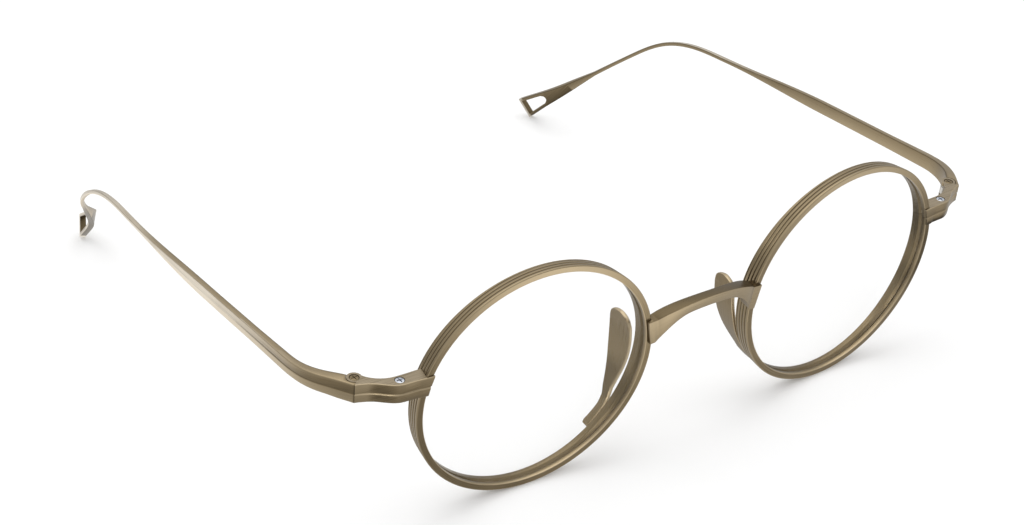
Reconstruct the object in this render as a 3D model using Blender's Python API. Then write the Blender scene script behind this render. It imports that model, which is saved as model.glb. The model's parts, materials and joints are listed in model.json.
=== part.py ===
"""Round metal eyeglasses with folding temples.

Everything is modelled in the frame of the spectacle front: X points to the wearer's left,
Y to the rear along the temples, Z up along the rims, with the origin midway between the rims.
Each builder describes the piece on the +X side; the piece on the -X side is its mirror image.
At the end the whole frame leans on its rims and temple tips, as it stands on a table.
"""
import math

import bmesh
import bpy
from mathutils import Vector

MM = 0.001

# Front
RIM_SPACING = 68.3 * MM          # between the two rim centres
RIM_WIDTH = 46.5 * MM            # outside, across the rim
RIM_HEIGHT = 44.4 * MM           # outside, top to bottom
RIM_WALL = 1.28 * MM
RIM_DEPTH_TOP = 2.6 * MM         # front to back, at the top and the bottom
RIM_DEPTH_SIDE = 3.5 * MM        # front to back, at the nose and the temple
RIM_BACK_TAPER = 0.4 * MM        # the outside is this much smaller at the back
RIM_WRAP = math.radians(2.9)     # each rim's outer side is turned back
GROOVE_COUNT = 4                 # grooves round the outside of the rim, between raised bands
FIRST_GROOVE = 0.7 * MM          # behind the rim's front
GROOVE_PITCH = 0.78 * MM         # the last one fades out where the rim is thin
RIDGE_GROOVE_WIDTH = 0.24 * MM
RIDGE_GROOVE_DEPTH = 0.12 * MM
RIM_SLIT = 0.3 * MM              # where the ring is cut, inside the closing block
RIM_STEPS = 72

# Lenses
LENS_THICKNESS = 1.8 * MM
LENS_CURVE = 150 * MM            # radius of both lens surfaces
LENS_GROOVE_DEPTH = 0.45 * MM
LENS_GROOVE_WIDTH = 0.9 * MM
LENS_EDGE_FROM_FRONT = 1.25 * MM # middle of the lens edge behind the rim's front, at the top
LENS_STEPS = 48
LENS_RINGS = 5

# Bridge
BRIDGE_ARCH_RISE = 3.2 * MM      # the ridge's middle above its ends
BRIDGE_ARCH_BULGE = 2.0 * MM     # the ridge's middle in front of its ends
BRIDGE_END_HEIGHT = 5.6 * MM     # the ridge's ends above the rim centres
BRIDGE_PROUD = 0.75 * MM         # the pads at its ends stand this far in front of the rims
BRIDGE_PLATE_LENGTH = 1.7 * MM   # straight at each end
BRIDGE_BAR_HEIGHT = 2.1 * MM
BRIDGE_PAD_HEIGHT = 4.7 * MM
BRIDGE_END_SLANT = 0.15          # its ends run along the rims' inner edges
BRIDGE_BAR_DEPTH = 2.0 * MM
BRIDGE_END_DEPTH = 3.2 * MM
BRIDGE_UNDERCUT = 0.35 * MM      # the front facet's lower edge lies this far behind its ridge
BRIDGE_STEPS = 28

# Nose pads
PAD_THICKNESS = 0.7 * MM
PAD_WIDTH = 5.4 * MM
PAD_NECK_WIDTH = 1.4 * MM
PAD_TOP = 2.7 * MM               # height of its top over the rim centres
PAD_WIDEST = -2.0 * MM
PAD_NECK_RISE = 1.05 * MM        # the neck's end above the top of the foot
PAD_BESIDE_RIM = 1.0 * MM        # from the rim's outside to the pad, at the rim centres' height
PAD_SET_BACK = 6.6 * MM          # the pad's middle behind the front, at the rim centres' height
PAD_LEAN = 0.185                 # the pad's middle comes forward by this much for each unit down
PAD_FLARE = 26.2                 # how fast the pads spread below the rim centres, per metre
PAD_FOOT_START = math.radians(37.5)
PAD_FOOT_END = math.radians(51)  # the foot runs along the back of the rim, below the nose
PAD_FOOT_WIDTH = 1.4 * MM

# Closing blocks and hinges
BLOCK_HEIGHT = 3.65 * MM
BLOCK_MIDDLE = 5.76 * MM         # height of its middle over the rim centres
BLOCK_SPLIT = 0.3 * MM           # gap between the upper and the lower half
BLOCK_PROUD = 0.65 * MM          # its tongue stands this far in front of the rim
BLOCK_BEVEL = 0.2 * MM           # along the upper outer edge of each half
LOCK_SCREW_OUT = 2.75 * MM       # from the rim's outside to the lock screw
LOCK_SCREW_Y = 2.7 * MM
HINGE_OUT = 8.8 * MM             # from the rim's outside to the hinge axis
HINGE_Y = 6.7 * MM
KNUCKLE_RADIUS = 1.45 * MM
KNUCKLE_HEIGHT = 0.8 * MM        # each of the two outer knuckles
WASHER_THICKNESS = 0.15 * MM
HINGE_PLAY = 0.1 * MM            # between knuckles and washers, along the axis
POCKET_GAP = 0.28 * MM           # round the outer knuckles, in the temple
SCREW_HEAD_RADIUS = 0.82 * MM
SCREW_HEAD_HEIGHT = 0.5 * MM
SEAT_GAP = 0.08 * MM             # round the heads, in the block
SCREW_HEAD_SUNK = 0.02 * MM      # the head's flat top below the block's
SCREW_HEAD_BEVEL = 0.12 * MM
SHANK_RADIUS = 0.5 * MM
SHANK_GAP = 0.08 * MM
SCREW_END_COVER = 0.3 * MM       # metal left under the lock screw's end
CROSS_REACH = 0.7                # of the head's radius
CROSS_WIDTH = 0.22 * MM
CROSS_DEPTH = 0.2 * MM
CROSS_TURN = math.radians(40)
TONGUE_BACK_INSET = 1.0 * MM     # the tongue's back lies this far inside the rim's
KNUCKLE_ARC_END = math.radians(190)

# Plan of the block, in millimetres from the lock screw and from the hinge axis
SHOULDER_OUTSIDE = ((-1.75, -1.55), (-0.85, -1.51), (-0.05, -1.45), (0.65, -1.3), (1.35, -1.0), (2.05, -0.58))
NECK_OUTSIDE = ((-3.3, -4.07), (-2.7, -3.6), (-2.1, -3.16), (-1.3, -2.72), (-0.5, -2.38), (0.3, -2.08))
NECK_INSIDE = ((-1.74, -0.7), (-2.15, -1.25), (-2.75, -1.75), (-3.4, -2.17))
SHOULDER_INSIDE = ((1.85, 1.47), (1.05, 1.23), (0.15, 1.1), (-1.15, 1.03), (-2.65, 1.0))

# Temples
TEMPLE_START_OUT = 0.09 * MM     # its start beyond the hinge axis, outwards
TEMPLE_START_AHEAD = 1.18 * MM   # and in front of it
TEMPLE_LENGTH = 139 * MM         # along its middle, from the joint with the block to the tip
TEMPLE_SWEEP = math.radians(37.7)        # it leaves the block this far outwards
TEMPLE_SWEEP_START = 1.5 * MM
TEMPLE_SWEEP_LENGTH = 14.1 * MM          # and turns to the rear over this length
TEMPLE_TOE_IN = math.radians(4.4)
TEMPLE_TOE_START = 30 * MM
TEMPLE_TOE_LENGTH = 60 * MM
EAR_BEND_START = 75.4 * MM
EAR_BEND_LENGTH = 28.5 * MM
TEMPLE_FALL = math.radians(6.1)          # slope of the straight part, against the front
TEMPLE_FALL_START = 2.5 * MM             # it is level where it leaves the block
TEMPLE_FALL_LENGTH = 3.5 * MM
EAR_DROP = math.radians(41.1)            # slope of the tip part
TIP_IN_START = 89.5 * MM
TIP_IN_LENGTH = 32.8 * MM
TIP_IN = math.radians(32.6)              # the tip turns towards the head
TIP_OUT_START = 120.6 * MM
TIP_OUT_LENGTH = 15.3 * MM
TIP_OUT = math.radians(29.4)             # and its end turns out again
TIP_ROLL_START = 105 * MM
TIP_ROLL_LENGTH = 25 * MM
TIP_ROLL = math.radians(10)              # its top leans towards the head
TEMPLE_ROOT_LENGTH = 12 * MM
TEMPLE_ROOT_HEIGHT = 2.9 * MM
TEMPLE_BLADE_HEIGHT = 2.55 * MM
TEMPLE_BLADE_START = 26 * MM
TEMPLE_BLADE_END = 43 * MM
TEMPLE_WIRE_START = 71 * MM
TEMPLE_WIRE_HEIGHT = 0.8 * MM
TEMPLE_START_THICKNESS = 2.3 * MM
TEMPLE_ROOT_THICKNESS = 1.4 * MM
TEMPLE_BLADE_THICKNESS = 1.15 * MM
TEMPLE_WIRE_THICKNESS = 0.65 * MM
TEMPLE_EDGE_BEVEL = 0.25 * MM
TEMPLE_GROOVE_DEPTH = 0.16 * MM  # along the outside, fading out behind the hinge
TEMPLE_GROOVE_FADE = 26 * MM
TIP_FLARE_START = 113.7 * MM
TIP_FLARE_POWER = 1.22           # 1 would be a straight taper
TIP_HEIGHT = 5 * MM
TIP_THICKNESS = 1.3 * MM
WINDOW_LENGTH = 8.05 * MM
WINDOW_NOSE_RADIUS = 0.8 * MM
WINDOW_END_BAR = 0.75 * MM
WINDOW_SIDE_BAR = 0.75 * MM      # above and below its wide end
TANG_WIDTH = 1.1 * MM
TANG_LENGTH = 3.3 * MM

GAP = 0.3 * MM                   # between pieces that touch or are brazed together
TINY = 0.001 * MM

RIM_RATIO = RIM_HEIGHT / RIM_WIDTH
RIM_OUTER = RIM_WIDTH / 2
RIM_INNER = RIM_OUTER - RIM_WALL
RIM_TEMPLE_SIDE = RIM_SPACING / 2 + RIM_OUTER
RIM_NOSE_SIDE = RIM_SPACING / 2 - RIM_OUTER
LOCK_SCREW_X = RIM_TEMPLE_SIDE + LOCK_SCREW_OUT
HINGE_X = RIM_TEMPLE_SIDE + HINGE_OUT
TEMPLE_START_X = HINGE_X + TEMPLE_START_OUT
TEMPLE_START_Y = HINGE_Y - TEMPLE_START_AHEAD
BLOCK_TOP = BLOCK_MIDDLE + BLOCK_HEIGHT / 2
BLOCK_BOTTOM = BLOCK_MIDDLE - BLOCK_HEIGHT / 2
KNUCKLE_ROOM = WASHER_THICKNESS + 2 * HINGE_PLAY
TANG_HEIGHT = BLOCK_HEIGHT - 2 * (KNUCKLE_HEIGHT + KNUCKLE_ROOM)
SIDES = {"left": 1, "right": -1}


def clear_scene():
    for existing in list(bpy.data.objects):
        bpy.data.objects.remove(existing, do_unlink=True)


def make_material(name, color, roughness, metallic, transmission=0.0):
    material = bpy.data.materials.new(name)
    material.use_nodes = True
    shader = material.node_tree.nodes["Principled BSDF"]
    shader.inputs["Base Color"].default_value = (*color, 1.0)
    shader.inputs["Roughness"].default_value = roughness
    shader.inputs["Metallic"].default_value = metallic
    shader.inputs["Transmission Weight"].default_value = transmission
    material.diffuse_color = (*color, 1.0)
    return material


def add_piece(name, rings, side, material, parent, place=(0, 0, 0), turn=0.0, closed=False):
    """A solid skinned over rings of points, with flat ends, or closed on itself."""
    mesh = bpy.data.meshes.new(name)
    build = bmesh.new()
    loops = [[build.verts.new((side * x, y, z)) for x, y, z in ring] for ring in rings]
    count = len(loops[0])
    pairs = list(zip(loops, loops[1:] + loops[:1])) if closed else list(zip(loops, loops[1:]))
    for first, second in pairs:
        for i in range(count):
            j = (i + 1) % count
            build.faces.new((first[i], first[j], second[j], second[i]))
    if not closed:
        build.faces.new(reversed(loops[0]))
        build.faces.new(loops[-1])
    bmesh.ops.recalc_face_normals(build, faces=build.faces)
    build.to_mesh(mesh)
    build.free()
    mesh.materials.append(material)
    piece = bpy.data.objects.new(name, mesh)
    bpy.context.scene.collection.objects.link(piece)
    piece.parent = parent
    piece.location = (side * place[0], place[1], place[2])
    piece.rotation_euler = (0, 0, side * turn)
    mesh.shade_smooth()
    mesh.set_sharp_from_angle(angle=math.radians(35))
    return piece


def add_prism(name, outline, low, high, side, material, parent, place=(0, 0, 0)):
    """An upright solid over an outline of (x, y) points."""
    rings = [[(x, y, z) for x, y in outline] for z in (low, high)]
    return add_piece(name, rings, side, material, parent, place)


def circle(radius, steps=28, centre=(0, 0)):
    angles = [2 * math.pi * i / steps for i in range(steps)]
    return [(centre[0] + radius * math.cos(a), centre[1] + radius * math.sin(a)) for a in angles]


def cut(piece, cutter):
    """Cut the piece by a solid that is only a tool."""
    boolean = piece.modifiers.new("cut_" + cutter.name, "BOOLEAN")
    boolean.operation = "DIFFERENCE"
    boolean.solver = "EXACT"
    boolean.object = cutter
    hide_tool(cutter)


def join(piece, addition):
    """Join a solid to the piece, and keep it only as a tool."""
    boolean = piece.modifiers.new("join_" + addition.name, "BOOLEAN")
    boolean.operation = "UNION"
    boolean.solver = "EXACT"
    boolean.object = addition
    hide_tool(addition)


def hide_tool(tool):
    tool.hide_render = True
    tool.display_type = "WIRE"


def ease(value, start, length):
    """Rises smoothly from 0 at start to 1 at start + length."""
    t = min(max((value - start) / length, 0.0), 1.0)
    return t * t * (3 - 2 * t)


def between(value, stations):
    """A value read off straight lines between (place, value) stations."""
    for (a, va), (b, vb) in zip(stations, stations[1:]):
        if value <= b:
            return va + (vb - va) * (value - a) / (b - a)
    return stations[-1][1]


def rim_depth(angle):
    return RIM_DEPTH_TOP + (RIM_DEPTH_SIDE - RIM_DEPTH_TOP) * math.cos(angle) ** 2


def lens_edge_set_back(angle):
    """How far behind the rim's front the middle of the lens edge lies, on its curve."""
    reach = math.hypot(math.cos(angle), RIM_RATIO * math.sin(angle)) * RIM_INNER
    top_reach = RIM_RATIO * RIM_INNER
    return LENS_EDGE_FROM_FRONT + (reach ** 2 - top_reach ** 2) / (2 * LENS_CURVE)


def rim_section(angle):
    """The rim's outline at an angle, as (radius, set back) points, from its front round."""
    depth = rim_depth(angle)
    points = [(RIM_OUTER, 0.0)]
    for i in range(GROOVE_COUNT):
        place = FIRST_GROOVE + i * GROOVE_PITCH
        fade = ease(depth - place, 0.0, RIDGE_GROOVE_WIDTH) + TINY / RIDGE_GROOVE_DEPTH
        half = RIDGE_GROOVE_WIDTH / 2 * fade
        middle = min(place, depth - (GROOVE_COUNT - i) * RIDGE_GROOVE_DEPTH)
        radius = RIM_OUTER - RIM_BACK_TAPER * middle / depth
        points.append((radius, middle - half))
        points.append((radius - RIDGE_GROOVE_DEPTH * fade, middle))
        points.append((radius, middle + half))
    points.append((RIM_OUTER - RIM_BACK_TAPER, depth))
    points.append((RIM_INNER, depth))
    groove = lens_edge_set_back(angle)
    points.append((RIM_INNER, groove + LENS_GROOVE_WIDTH / 2))
    points.append((RIM_INNER + LENS_GROOVE_DEPTH, groove))
    points.append((RIM_INNER, groove - LENS_GROOVE_WIDTH / 2))
    points.append((RIM_INNER, 0.0))
    return points


def on_rim(radius, angle, set_back):
    return (radius * math.cos(angle), set_back, RIM_RATIO * radius * math.sin(angle))


def add_rim(label, side, parent, metal):
    """A grooved ring, cut open where the closing block clamps it."""
    split = math.asin(BLOCK_MIDDLE / (RIM_RATIO * RIM_OUTER))
    half_slit = RIM_SLIT / 2 / RIM_OUTER
    sweep = 2 * math.pi - 2 * half_slit
    angles = [split + half_slit + sweep * i / RIM_STEPS for i in range(RIM_STEPS + 1)]
    rings = [[on_rim(r, a, y) for r, y in rim_section(a)] for a in angles]
    return add_piece("rim_" + label, rings, side, metal, parent, (RIM_SPACING / 2, 0, 0), RIM_WRAP)


def rim_tool(name, side, parent, metal):
    """The room that the rim and its lens take, with a gap round them, as a cutter."""
    far_inside = RIM_INNER - 2 * RIM_WALL
    rings = []
    for i in range(RIM_STEPS):
        angle = 2 * math.pi * i / RIM_STEPS
        back = rim_depth(angle) + GAP
        corners = ((RIM_OUTER + GAP, -GAP), (RIM_OUTER + GAP, back), (far_inside, back), (far_inside, -GAP))
        rings.append([on_rim(r, angle, y) for r, y in corners])
    place = (RIM_SPACING / 2, 0, 0)
    return add_piece(name, rings, side, metal, parent, place, RIM_WRAP, closed=True)


def add_lens(label, side, parent, glass):
    """A curved lens with a V edge that sits in the rim's groove."""
    tip = RIM_INNER + LENS_GROOVE_DEPTH - GAP
    body = RIM_INNER - GAP
    half = LENS_THICKNESS / 2
    top_reach = RIM_RATIO * RIM_INNER
    vertex = LENS_EDGE_FROM_FRONT - top_reach ** 2 / (2 * LENS_CURVE)
    radii = [body * i / LENS_RINGS for i in range(1, LENS_RINGS + 1)]
    profile = [(r, -half) for r in radii] + [(tip, 0.0)] + [(r, half) for r in reversed(radii)]
    rings = []
    for radius, offset in profile:
        ring = []
        for i in range(LENS_STEPS):
            angle = 2 * math.pi * i / LENS_STEPS
            reach = radius * math.hypot(math.cos(angle), RIM_RATIO * math.sin(angle))
            ring.append(on_rim(radius, angle, vertex + offset + reach ** 2 / (2 * LENS_CURVE)))
        rings.append(ring)
    return add_piece("lens_" + label, rings, side, glass, parent, (RIM_SPACING / 2, 0, 0), RIM_WRAP)


def rim_front_at(x):
    """Set back of the rim's front plane at a distance x from the middle."""
    return (x - RIM_SPACING / 2) * math.tan(RIM_WRAP)


def add_bridge(parent, metal):
    """An arched bar with a ridge along its front, and a plate on the front of each rim."""
    end = RIM_SPACING / 2 - RIM_INNER + GAP
    bend = end - BRIDGE_PLATE_LENGTH
    slant_start = bend - BRIDGE_PLATE_LENGTH / 2
    ridge_end = rim_front_at(end) - BRIDGE_PROUD
    rings = []
    for i in range(-BRIDGE_STEPS // 2, BRIDGE_STEPS // 2 + 1):
        x = end * i / (BRIDGE_STEPS // 2)
        share = min(abs(x) / bend, 1.0)
        arch = 0.75 * share ** 2 + 0.25 * share ** 4
        ridge_y = ridge_end - BRIDGE_ARCH_BULGE * (1 - arch)
        ridge_z = BRIDGE_END_HEIGHT + BRIDGE_ARCH_RISE * (1 - arch)
        flare = max((share - 0.5) / 0.5, 0.0) ** 2
        height = BRIDGE_BAR_HEIGHT + (BRIDGE_PAD_HEIGHT - BRIDGE_BAR_HEIGHT) * flare
        depth = BRIDGE_BAR_DEPTH + (BRIDGE_END_DEPTH - BRIDGE_BAR_DEPTH) * flare
        undercut = BRIDGE_UNDERCUT * (1 - flare)
        section = ((ridge_y, ridge_z), (ridge_y + undercut, ridge_z - height),
                   (ridge_y + depth - undercut, ridge_z - height), (ridge_y + depth, ridge_z - 0.5 * undercut))
        slant = math.copysign(BRIDGE_END_SLANT * ease(abs(x), slant_start, end - slant_start), x)
        rings.append([(x + slant * (z - ridge_z + height / 2), y, z) for y, z in section])
    bridge = add_piece("bridge", rings, 1, metal, parent)
    for label, side in SIDES.items():
        cut(bridge, rim_tool("room_for_rim_in_bridge_" + label, side, parent, metal))
    return bridge


def pad_middle(z):
    """Distance of the pad from the middle plane, at a height."""
    return RIM_NOSE_SIDE + PAD_BESIDE_RIM + (PAD_FLARE * z ** 2 if z < 0 else 0.0)


def pad_half_width(z, neck):
    if z > PAD_WIDEST:
        share = min((z - PAD_WIDEST) / (PAD_TOP - PAD_WIDEST), 0.995)
        return PAD_WIDTH / 2 * (1 - share ** 4) ** 0.5
    share = min((PAD_WIDEST - z) / (PAD_WIDEST - neck), 1.0)
    return PAD_NECK_WIDTH / 2 + (PAD_WIDTH - PAD_NECK_WIDTH) / 2 * (1 - share ** 2) ** 1.5


def pad_path():
    """Stations of the pad from its top to the end of its foot: x, y, z and half width."""
    stations = []
    foot_radius = RIM_INNER + RIM_WALL / 3
    neck = PAD_NECK_RISE - RIM_RATIO * foot_radius * math.sin(PAD_FOOT_START)
    leaf_steps = 18
    for i in range(leaf_steps):
        share = 1 - math.cos(math.pi / 2 * i / (leaf_steps - 1))
        z = PAD_TOP - (PAD_TOP - neck) * share
        stations.append((pad_middle(z), PAD_SET_BACK + PAD_LEAN * z, z, pad_half_width(z, neck)))
    neck_y = PAD_SET_BACK + PAD_LEAN * neck
    foot_steps = 6
    for i in range(foot_steps + 1):
        angle = PAD_FOOT_START + (PAD_FOOT_END - PAD_FOOT_START) * i / foot_steps
        x = RIM_SPACING / 2 - foot_radius * math.cos(angle) * math.cos(RIM_WRAP)
        z = -RIM_RATIO * foot_radius * math.sin(angle)
        back = rim_depth(angle) + rim_front_at(x) + GAP
        y = back + PAD_FOOT_WIDTH / 2 + TINY
        if i == 0:
            y = (y + neck_y) / 2
        stations.append((x, y, z, PAD_FOOT_WIDTH / 2))
    return stations


def add_nose_pad(label, side, parent, metal):
    """A leaf of metal: rounded pad, narrow neck and a foot brazed to the back of the rim."""
    stations = pad_path()
    rings = []
    for i, (x, y, z, half) in enumerate(stations):
        before = stations[max(i - 1, 0)]
        after = stations[min(i + 1, len(stations) - 1)]
        along = Vector((after[0] - before[0], 0, after[2] - before[2])).normalized()
        out = Vector((-along.z, 0, along.x)) * PAD_THICKNESS / 2
        centre = Vector((x, y, z))
        wide = Vector((0, half, 0))
        slim = Vector((0, max(half - PAD_THICKNESS / 3, half / 2), 0))
        rings.append([centre + slim + out, centre + wide, centre + slim - out,
                      centre - slim - out, centre - wide, centre - slim + out])
    return add_piece("nose_pad_" + label, rings, side, metal, parent)


def rim_inner_edge(z):
    """How far from the middle plane the rim's inner edge lies at a height, on the temple side."""
    return RIM_SPACING / 2 + RIM_INNER * math.cos(math.asin(z / (RIM_RATIO * RIM_INNER)))


def from_lock_screw(points):
    return [(LOCK_SCREW_X + x * MM, LOCK_SCREW_Y + y * MM) for x, y in points]


def from_hinge(points):
    return [(HINGE_X + x * MM, HINGE_Y + y * MM) for x, y in points]


def block_outline(z, inset):
    """Plan of the closing block at a height: over the rim, in at the neck, round the hinge axis.

    The chain along its outer face is moved inwards by the inset.
    """
    tongue = rim_inner_edge(z)
    front = rim_front_at(tongue) - BLOCK_PROUD
    seam = seam_points()
    chain = [(tongue, front)] + from_lock_screw(SHOULDER_OUTSIDE) + from_hinge(NECK_OUTSIDE) + [seam[0]]
    outer = []
    for i, (x, y) in enumerate(chain):
        before = chain[max(i - 1, 0)]
        after = chain[min(i + 1, len(chain) - 1)]
        along = Vector((after[0] - before[0], after[1] - before[1])).normalized()
        outer.append((x - along.y * inset, y + along.x * inset))
    start = math.atan2(seam[1][1] - HINGE_Y, seam[1][0] - HINGE_X)
    arc = []
    arc_steps = 20
    for i in range(arc_steps + 1):
        angle = start + (KNUCKLE_ARC_END - start) * i / arc_steps
        arc.append((HINGE_X + KNUCKLE_RADIUS * math.cos(angle), HINGE_Y + KNUCKLE_RADIUS * math.sin(angle)))
    back = rim_front_at(tongue) + RIM_DEPTH_SIDE - TONGUE_BACK_INSET
    return outer + arc + from_hinge(NECK_INSIDE) + from_lock_screw(SHOULDER_INSIDE) + [(tongue, back)]


def seam_points():
    """Outer and inner end of the joint between block and temple, in plan, on the block's side."""
    along = Vector((math.sin(TEMPLE_SWEEP), math.cos(TEMPLE_SWEEP)))
    across = Vector((math.cos(TEMPLE_SWEEP), -math.sin(TEMPLE_SWEEP)))
    start = Vector((TEMPLE_START_X, TEMPLE_START_Y)) - along * GAP / 2
    outer = start + across * TEMPLE_START_THICKNESS / 2
    hinge = Vector((HINGE_X, HINGE_Y))
    offset = (hinge - start).dot(along)
    reach = math.sqrt(KNUCKLE_RADIUS ** 2 - offset ** 2)
    inner = start + across * ((hinge - start).dot(across) + reach)
    return tuple(outer), tuple(inner)


def add_block_half(label, side, parent, metal, upper):
    """One half of the split closing block, with its outer knuckle of the hinge."""
    part = "upper" if upper else "lower"
    low = BLOCK_MIDDLE + BLOCK_SPLIT / 2 if upper else BLOCK_BOTTOM
    high = BLOCK_TOP if upper else BLOCK_MIDDLE - BLOCK_SPLIT / 2
    rings = []
    for z, inset in ((low, 0.0), (high - BLOCK_BEVEL, 0.0), (high, BLOCK_BEVEL)):
        rings.append([(x, y, z) for x, y in block_outline(z, inset)])
    half = add_piece("closing_block_%s_%s" % (part, label), rings, side, metal, parent)
    tag = "_%s_%s" % (part, label)
    cut(half, rim_tool("room_for_rim" + tag, side, parent, metal))
    slot_low = BLOCK_BOTTOM + KNUCKLE_HEIGHT
    slot_high = BLOCK_TOP - KNUCKLE_HEIGHT
    slot = circle(KNUCKLE_RADIUS + POCKET_GAP, 36)
    cut(half, add_prism("hinge_slot" + tag, slot, slot_low, slot_high, side, metal, parent, (HINGE_X, HINGE_Y, 0)))
    for use, x, y in (("hinge", HINGE_X, HINGE_Y), ("lock", LOCK_SCREW_X, LOCK_SCREW_Y)):
        bottom = BLOCK_BOTTOM + SCREW_END_COVER - GAP / 2
        shaft = circle(SHANK_RADIUS + SHANK_GAP, 20)
        cut(half, add_prism(use + "_bore" + tag, shaft, bottom, BLOCK_TOP + GAP, side, metal, parent, (x, y, 0)))
        if upper:
            seat = circle(SCREW_HEAD_RADIUS + SEAT_GAP, 28)
            floor = BLOCK_TOP - SCREW_HEAD_SUNK - SCREW_HEAD_HEIGHT - SEAT_GAP
            name = use + "_head_seat" + tag
            cut(half, add_prism(name, seat, floor, BLOCK_TOP + GAP, side, metal, parent, (x, y, 0)))
    return half


def add_screw(name, side, parent, metal, x, y):
    """A cross-head screw that runs down from the top of the block."""
    top = BLOCK_TOP - SCREW_HEAD_SUNK
    end = BLOCK_BOTTOM + SCREW_END_COVER
    rim = SCREW_HEAD_RADIUS
    profile = [(rim - SCREW_HEAD_BEVEL, top), (rim, top - SCREW_HEAD_BEVEL), (rim, top - SCREW_HEAD_HEIGHT),
               (SHANK_RADIUS, top - SCREW_HEAD_HEIGHT - TINY),
               (SHANK_RADIUS, end + 0.2 * SHANK_RADIUS), (SHANK_RADIUS * 0.8, end)]
    rings = [[(cx, cy, z) for cx, cy in circle(r, 20)] for r, z in profile]
    screw = add_piece(name, rings, side, metal, parent, (x, y, 0))
    for i in range(2):
        turn = CROSS_TURN + i * math.pi / 2
        arm = Vector((math.cos(turn), math.sin(turn))) * SCREW_HEAD_RADIUS * CROSS_REACH
        wide = Vector((-arm.y, arm.x)).normalized() * CROSS_WIDTH / 2
        corners = [tuple(p) for p in (-arm - wide, arm - wide, arm + wide, -arm + wide)]
        tool = "%s_recess_%d" % (name, i)
        cut(screw, add_prism(tool, corners, top - CROSS_DEPTH, top + GAP, side, metal, parent, (x, y, 0)))
    return screw


def add_washer(name, side, parent, metal, low):
    """A thin washer between two knuckles."""
    rings = []
    profile = ((SHANK_RADIUS + SHANK_GAP, 0.0), (KNUCKLE_RADIUS - HINGE_PLAY, 0.0),
               (KNUCKLE_RADIUS - HINGE_PLAY, WASHER_THICKNESS), (SHANK_RADIUS + SHANK_GAP, WASHER_THICKNESS))
    steps = 28
    for i in range(steps):
        angle = 2 * math.pi * i / steps
        rings.append([(r * math.cos(angle), r * math.sin(angle), low + z) for r, z in profile])
    return add_piece(name, rings, side, metal, parent, (HINGE_X, HINGE_Y, 0), closed=True)


def temple_heading(s):
    """Plan angle and downward slope of the temple at a length s."""
    plan = -TEMPLE_SWEEP * (1 - ease(s, TEMPLE_SWEEP_START, TEMPLE_SWEEP_LENGTH))
    plan += TEMPLE_TOE_IN * ease(s, TEMPLE_TOE_START, TEMPLE_TOE_LENGTH)
    plan += TIP_IN * ease(s, TIP_IN_START, TIP_IN_LENGTH)
    plan -= TIP_OUT * ease(s, TIP_OUT_START, TIP_OUT_LENGTH)
    slope = TEMPLE_FALL * ease(s, TEMPLE_FALL_START, TEMPLE_FALL_LENGTH)
    slope += (EAR_DROP - TEMPLE_FALL) * ease(s, EAR_BEND_START, EAR_BEND_LENGTH)
    return plan, slope


def temple_height(s):
    """Height of the temple's section: tall at the hinge, thin at the ear, tall at the tip."""
    height = between(s, ((0, BLOCK_HEIGHT), (TEMPLE_ROOT_LENGTH, TEMPLE_ROOT_HEIGHT),
                         (TEMPLE_BLADE_START, TEMPLE_BLADE_HEIGHT), (TEMPLE_LENGTH, TEMPLE_BLADE_HEIGHT)))
    to_wire = ease(s, TEMPLE_BLADE_END, TEMPLE_WIRE_START - TEMPLE_BLADE_END)
    height += (TEMPLE_WIRE_HEIGHT - TEMPLE_BLADE_HEIGHT) * to_wire
    flare = max((s - TIP_FLARE_START) / (TEMPLE_LENGTH - TIP_FLARE_START), 0.0) ** TIP_FLARE_POWER
    return height + (TIP_HEIGHT - TEMPLE_WIRE_HEIGHT) * flare


def temple_thickness(s):
    return between(s, ((0, TEMPLE_START_THICKNESS), (TEMPLE_ROOT_LENGTH, TEMPLE_ROOT_THICKNESS),
                       (TEMPLE_BLADE_START, TEMPLE_BLADE_THICKNESS),
                       (EAR_BEND_START, 0.8 * TEMPLE_BLADE_THICKNESS),
                       (EAR_BEND_START + EAR_BEND_LENGTH, TEMPLE_WIRE_THICKNESS),
                       (TIP_OUT_START, TIP_THICKNESS), (TEMPLE_LENGTH, TIP_THICKNESS)))


def temple_stations():
    """Middle, direction, up and out vectors of the temple, with s, in fine steps."""
    fine = 400
    step = TEMPLE_LENGTH / fine
    place = Vector((TEMPLE_START_X, TEMPLE_START_Y, BLOCK_MIDDLE))
    stations = []
    for i in range(fine + 1):
        s = i * step
        plan, slope = temple_heading(s)
        along = Vector((-math.sin(plan) * math.cos(slope), math.cos(plan) * math.cos(slope), -math.sin(slope)))
        up = Vector((-math.sin(plan) * math.sin(slope), math.cos(plan) * math.sin(slope), math.cos(slope)))
        out = Vector((math.cos(plan), math.sin(plan), 0))
        roll = TIP_ROLL * ease(s, TIP_ROLL_START, TIP_ROLL_LENGTH)
        rolled_up = up * math.cos(roll) - out * math.sin(roll)
        rolled_out = out * math.cos(roll) + up * math.sin(roll)
        stations.append((s, place.copy(), along, rolled_up, rolled_out))
        place += along * step
    return stations


def temple_ring(station):
    """The temple's section: flat inside; bevelled outside, with a groove that fades away."""
    s, middle, along, up, out = station
    high = temple_height(s) / 2
    thick = temple_thickness(s) / 2
    bevel = min(TEMPLE_EDGE_BEVEL, high / 2, thick / 2)
    groove = TEMPLE_GROOVE_DEPTH * (1 - ease(s, 0, TEMPLE_GROOVE_FADE)) + TINY
    corners = ((-thick, high), (thick - bevel, high), (thick, high - bevel), (thick, high / 6),
               (thick - groove, 0.0), (thick, -high / 6), (thick, bevel - high), (thick - bevel, -high),
               (-thick, -high))
    return [middle + out * a + up * b for a, b in corners]


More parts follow.
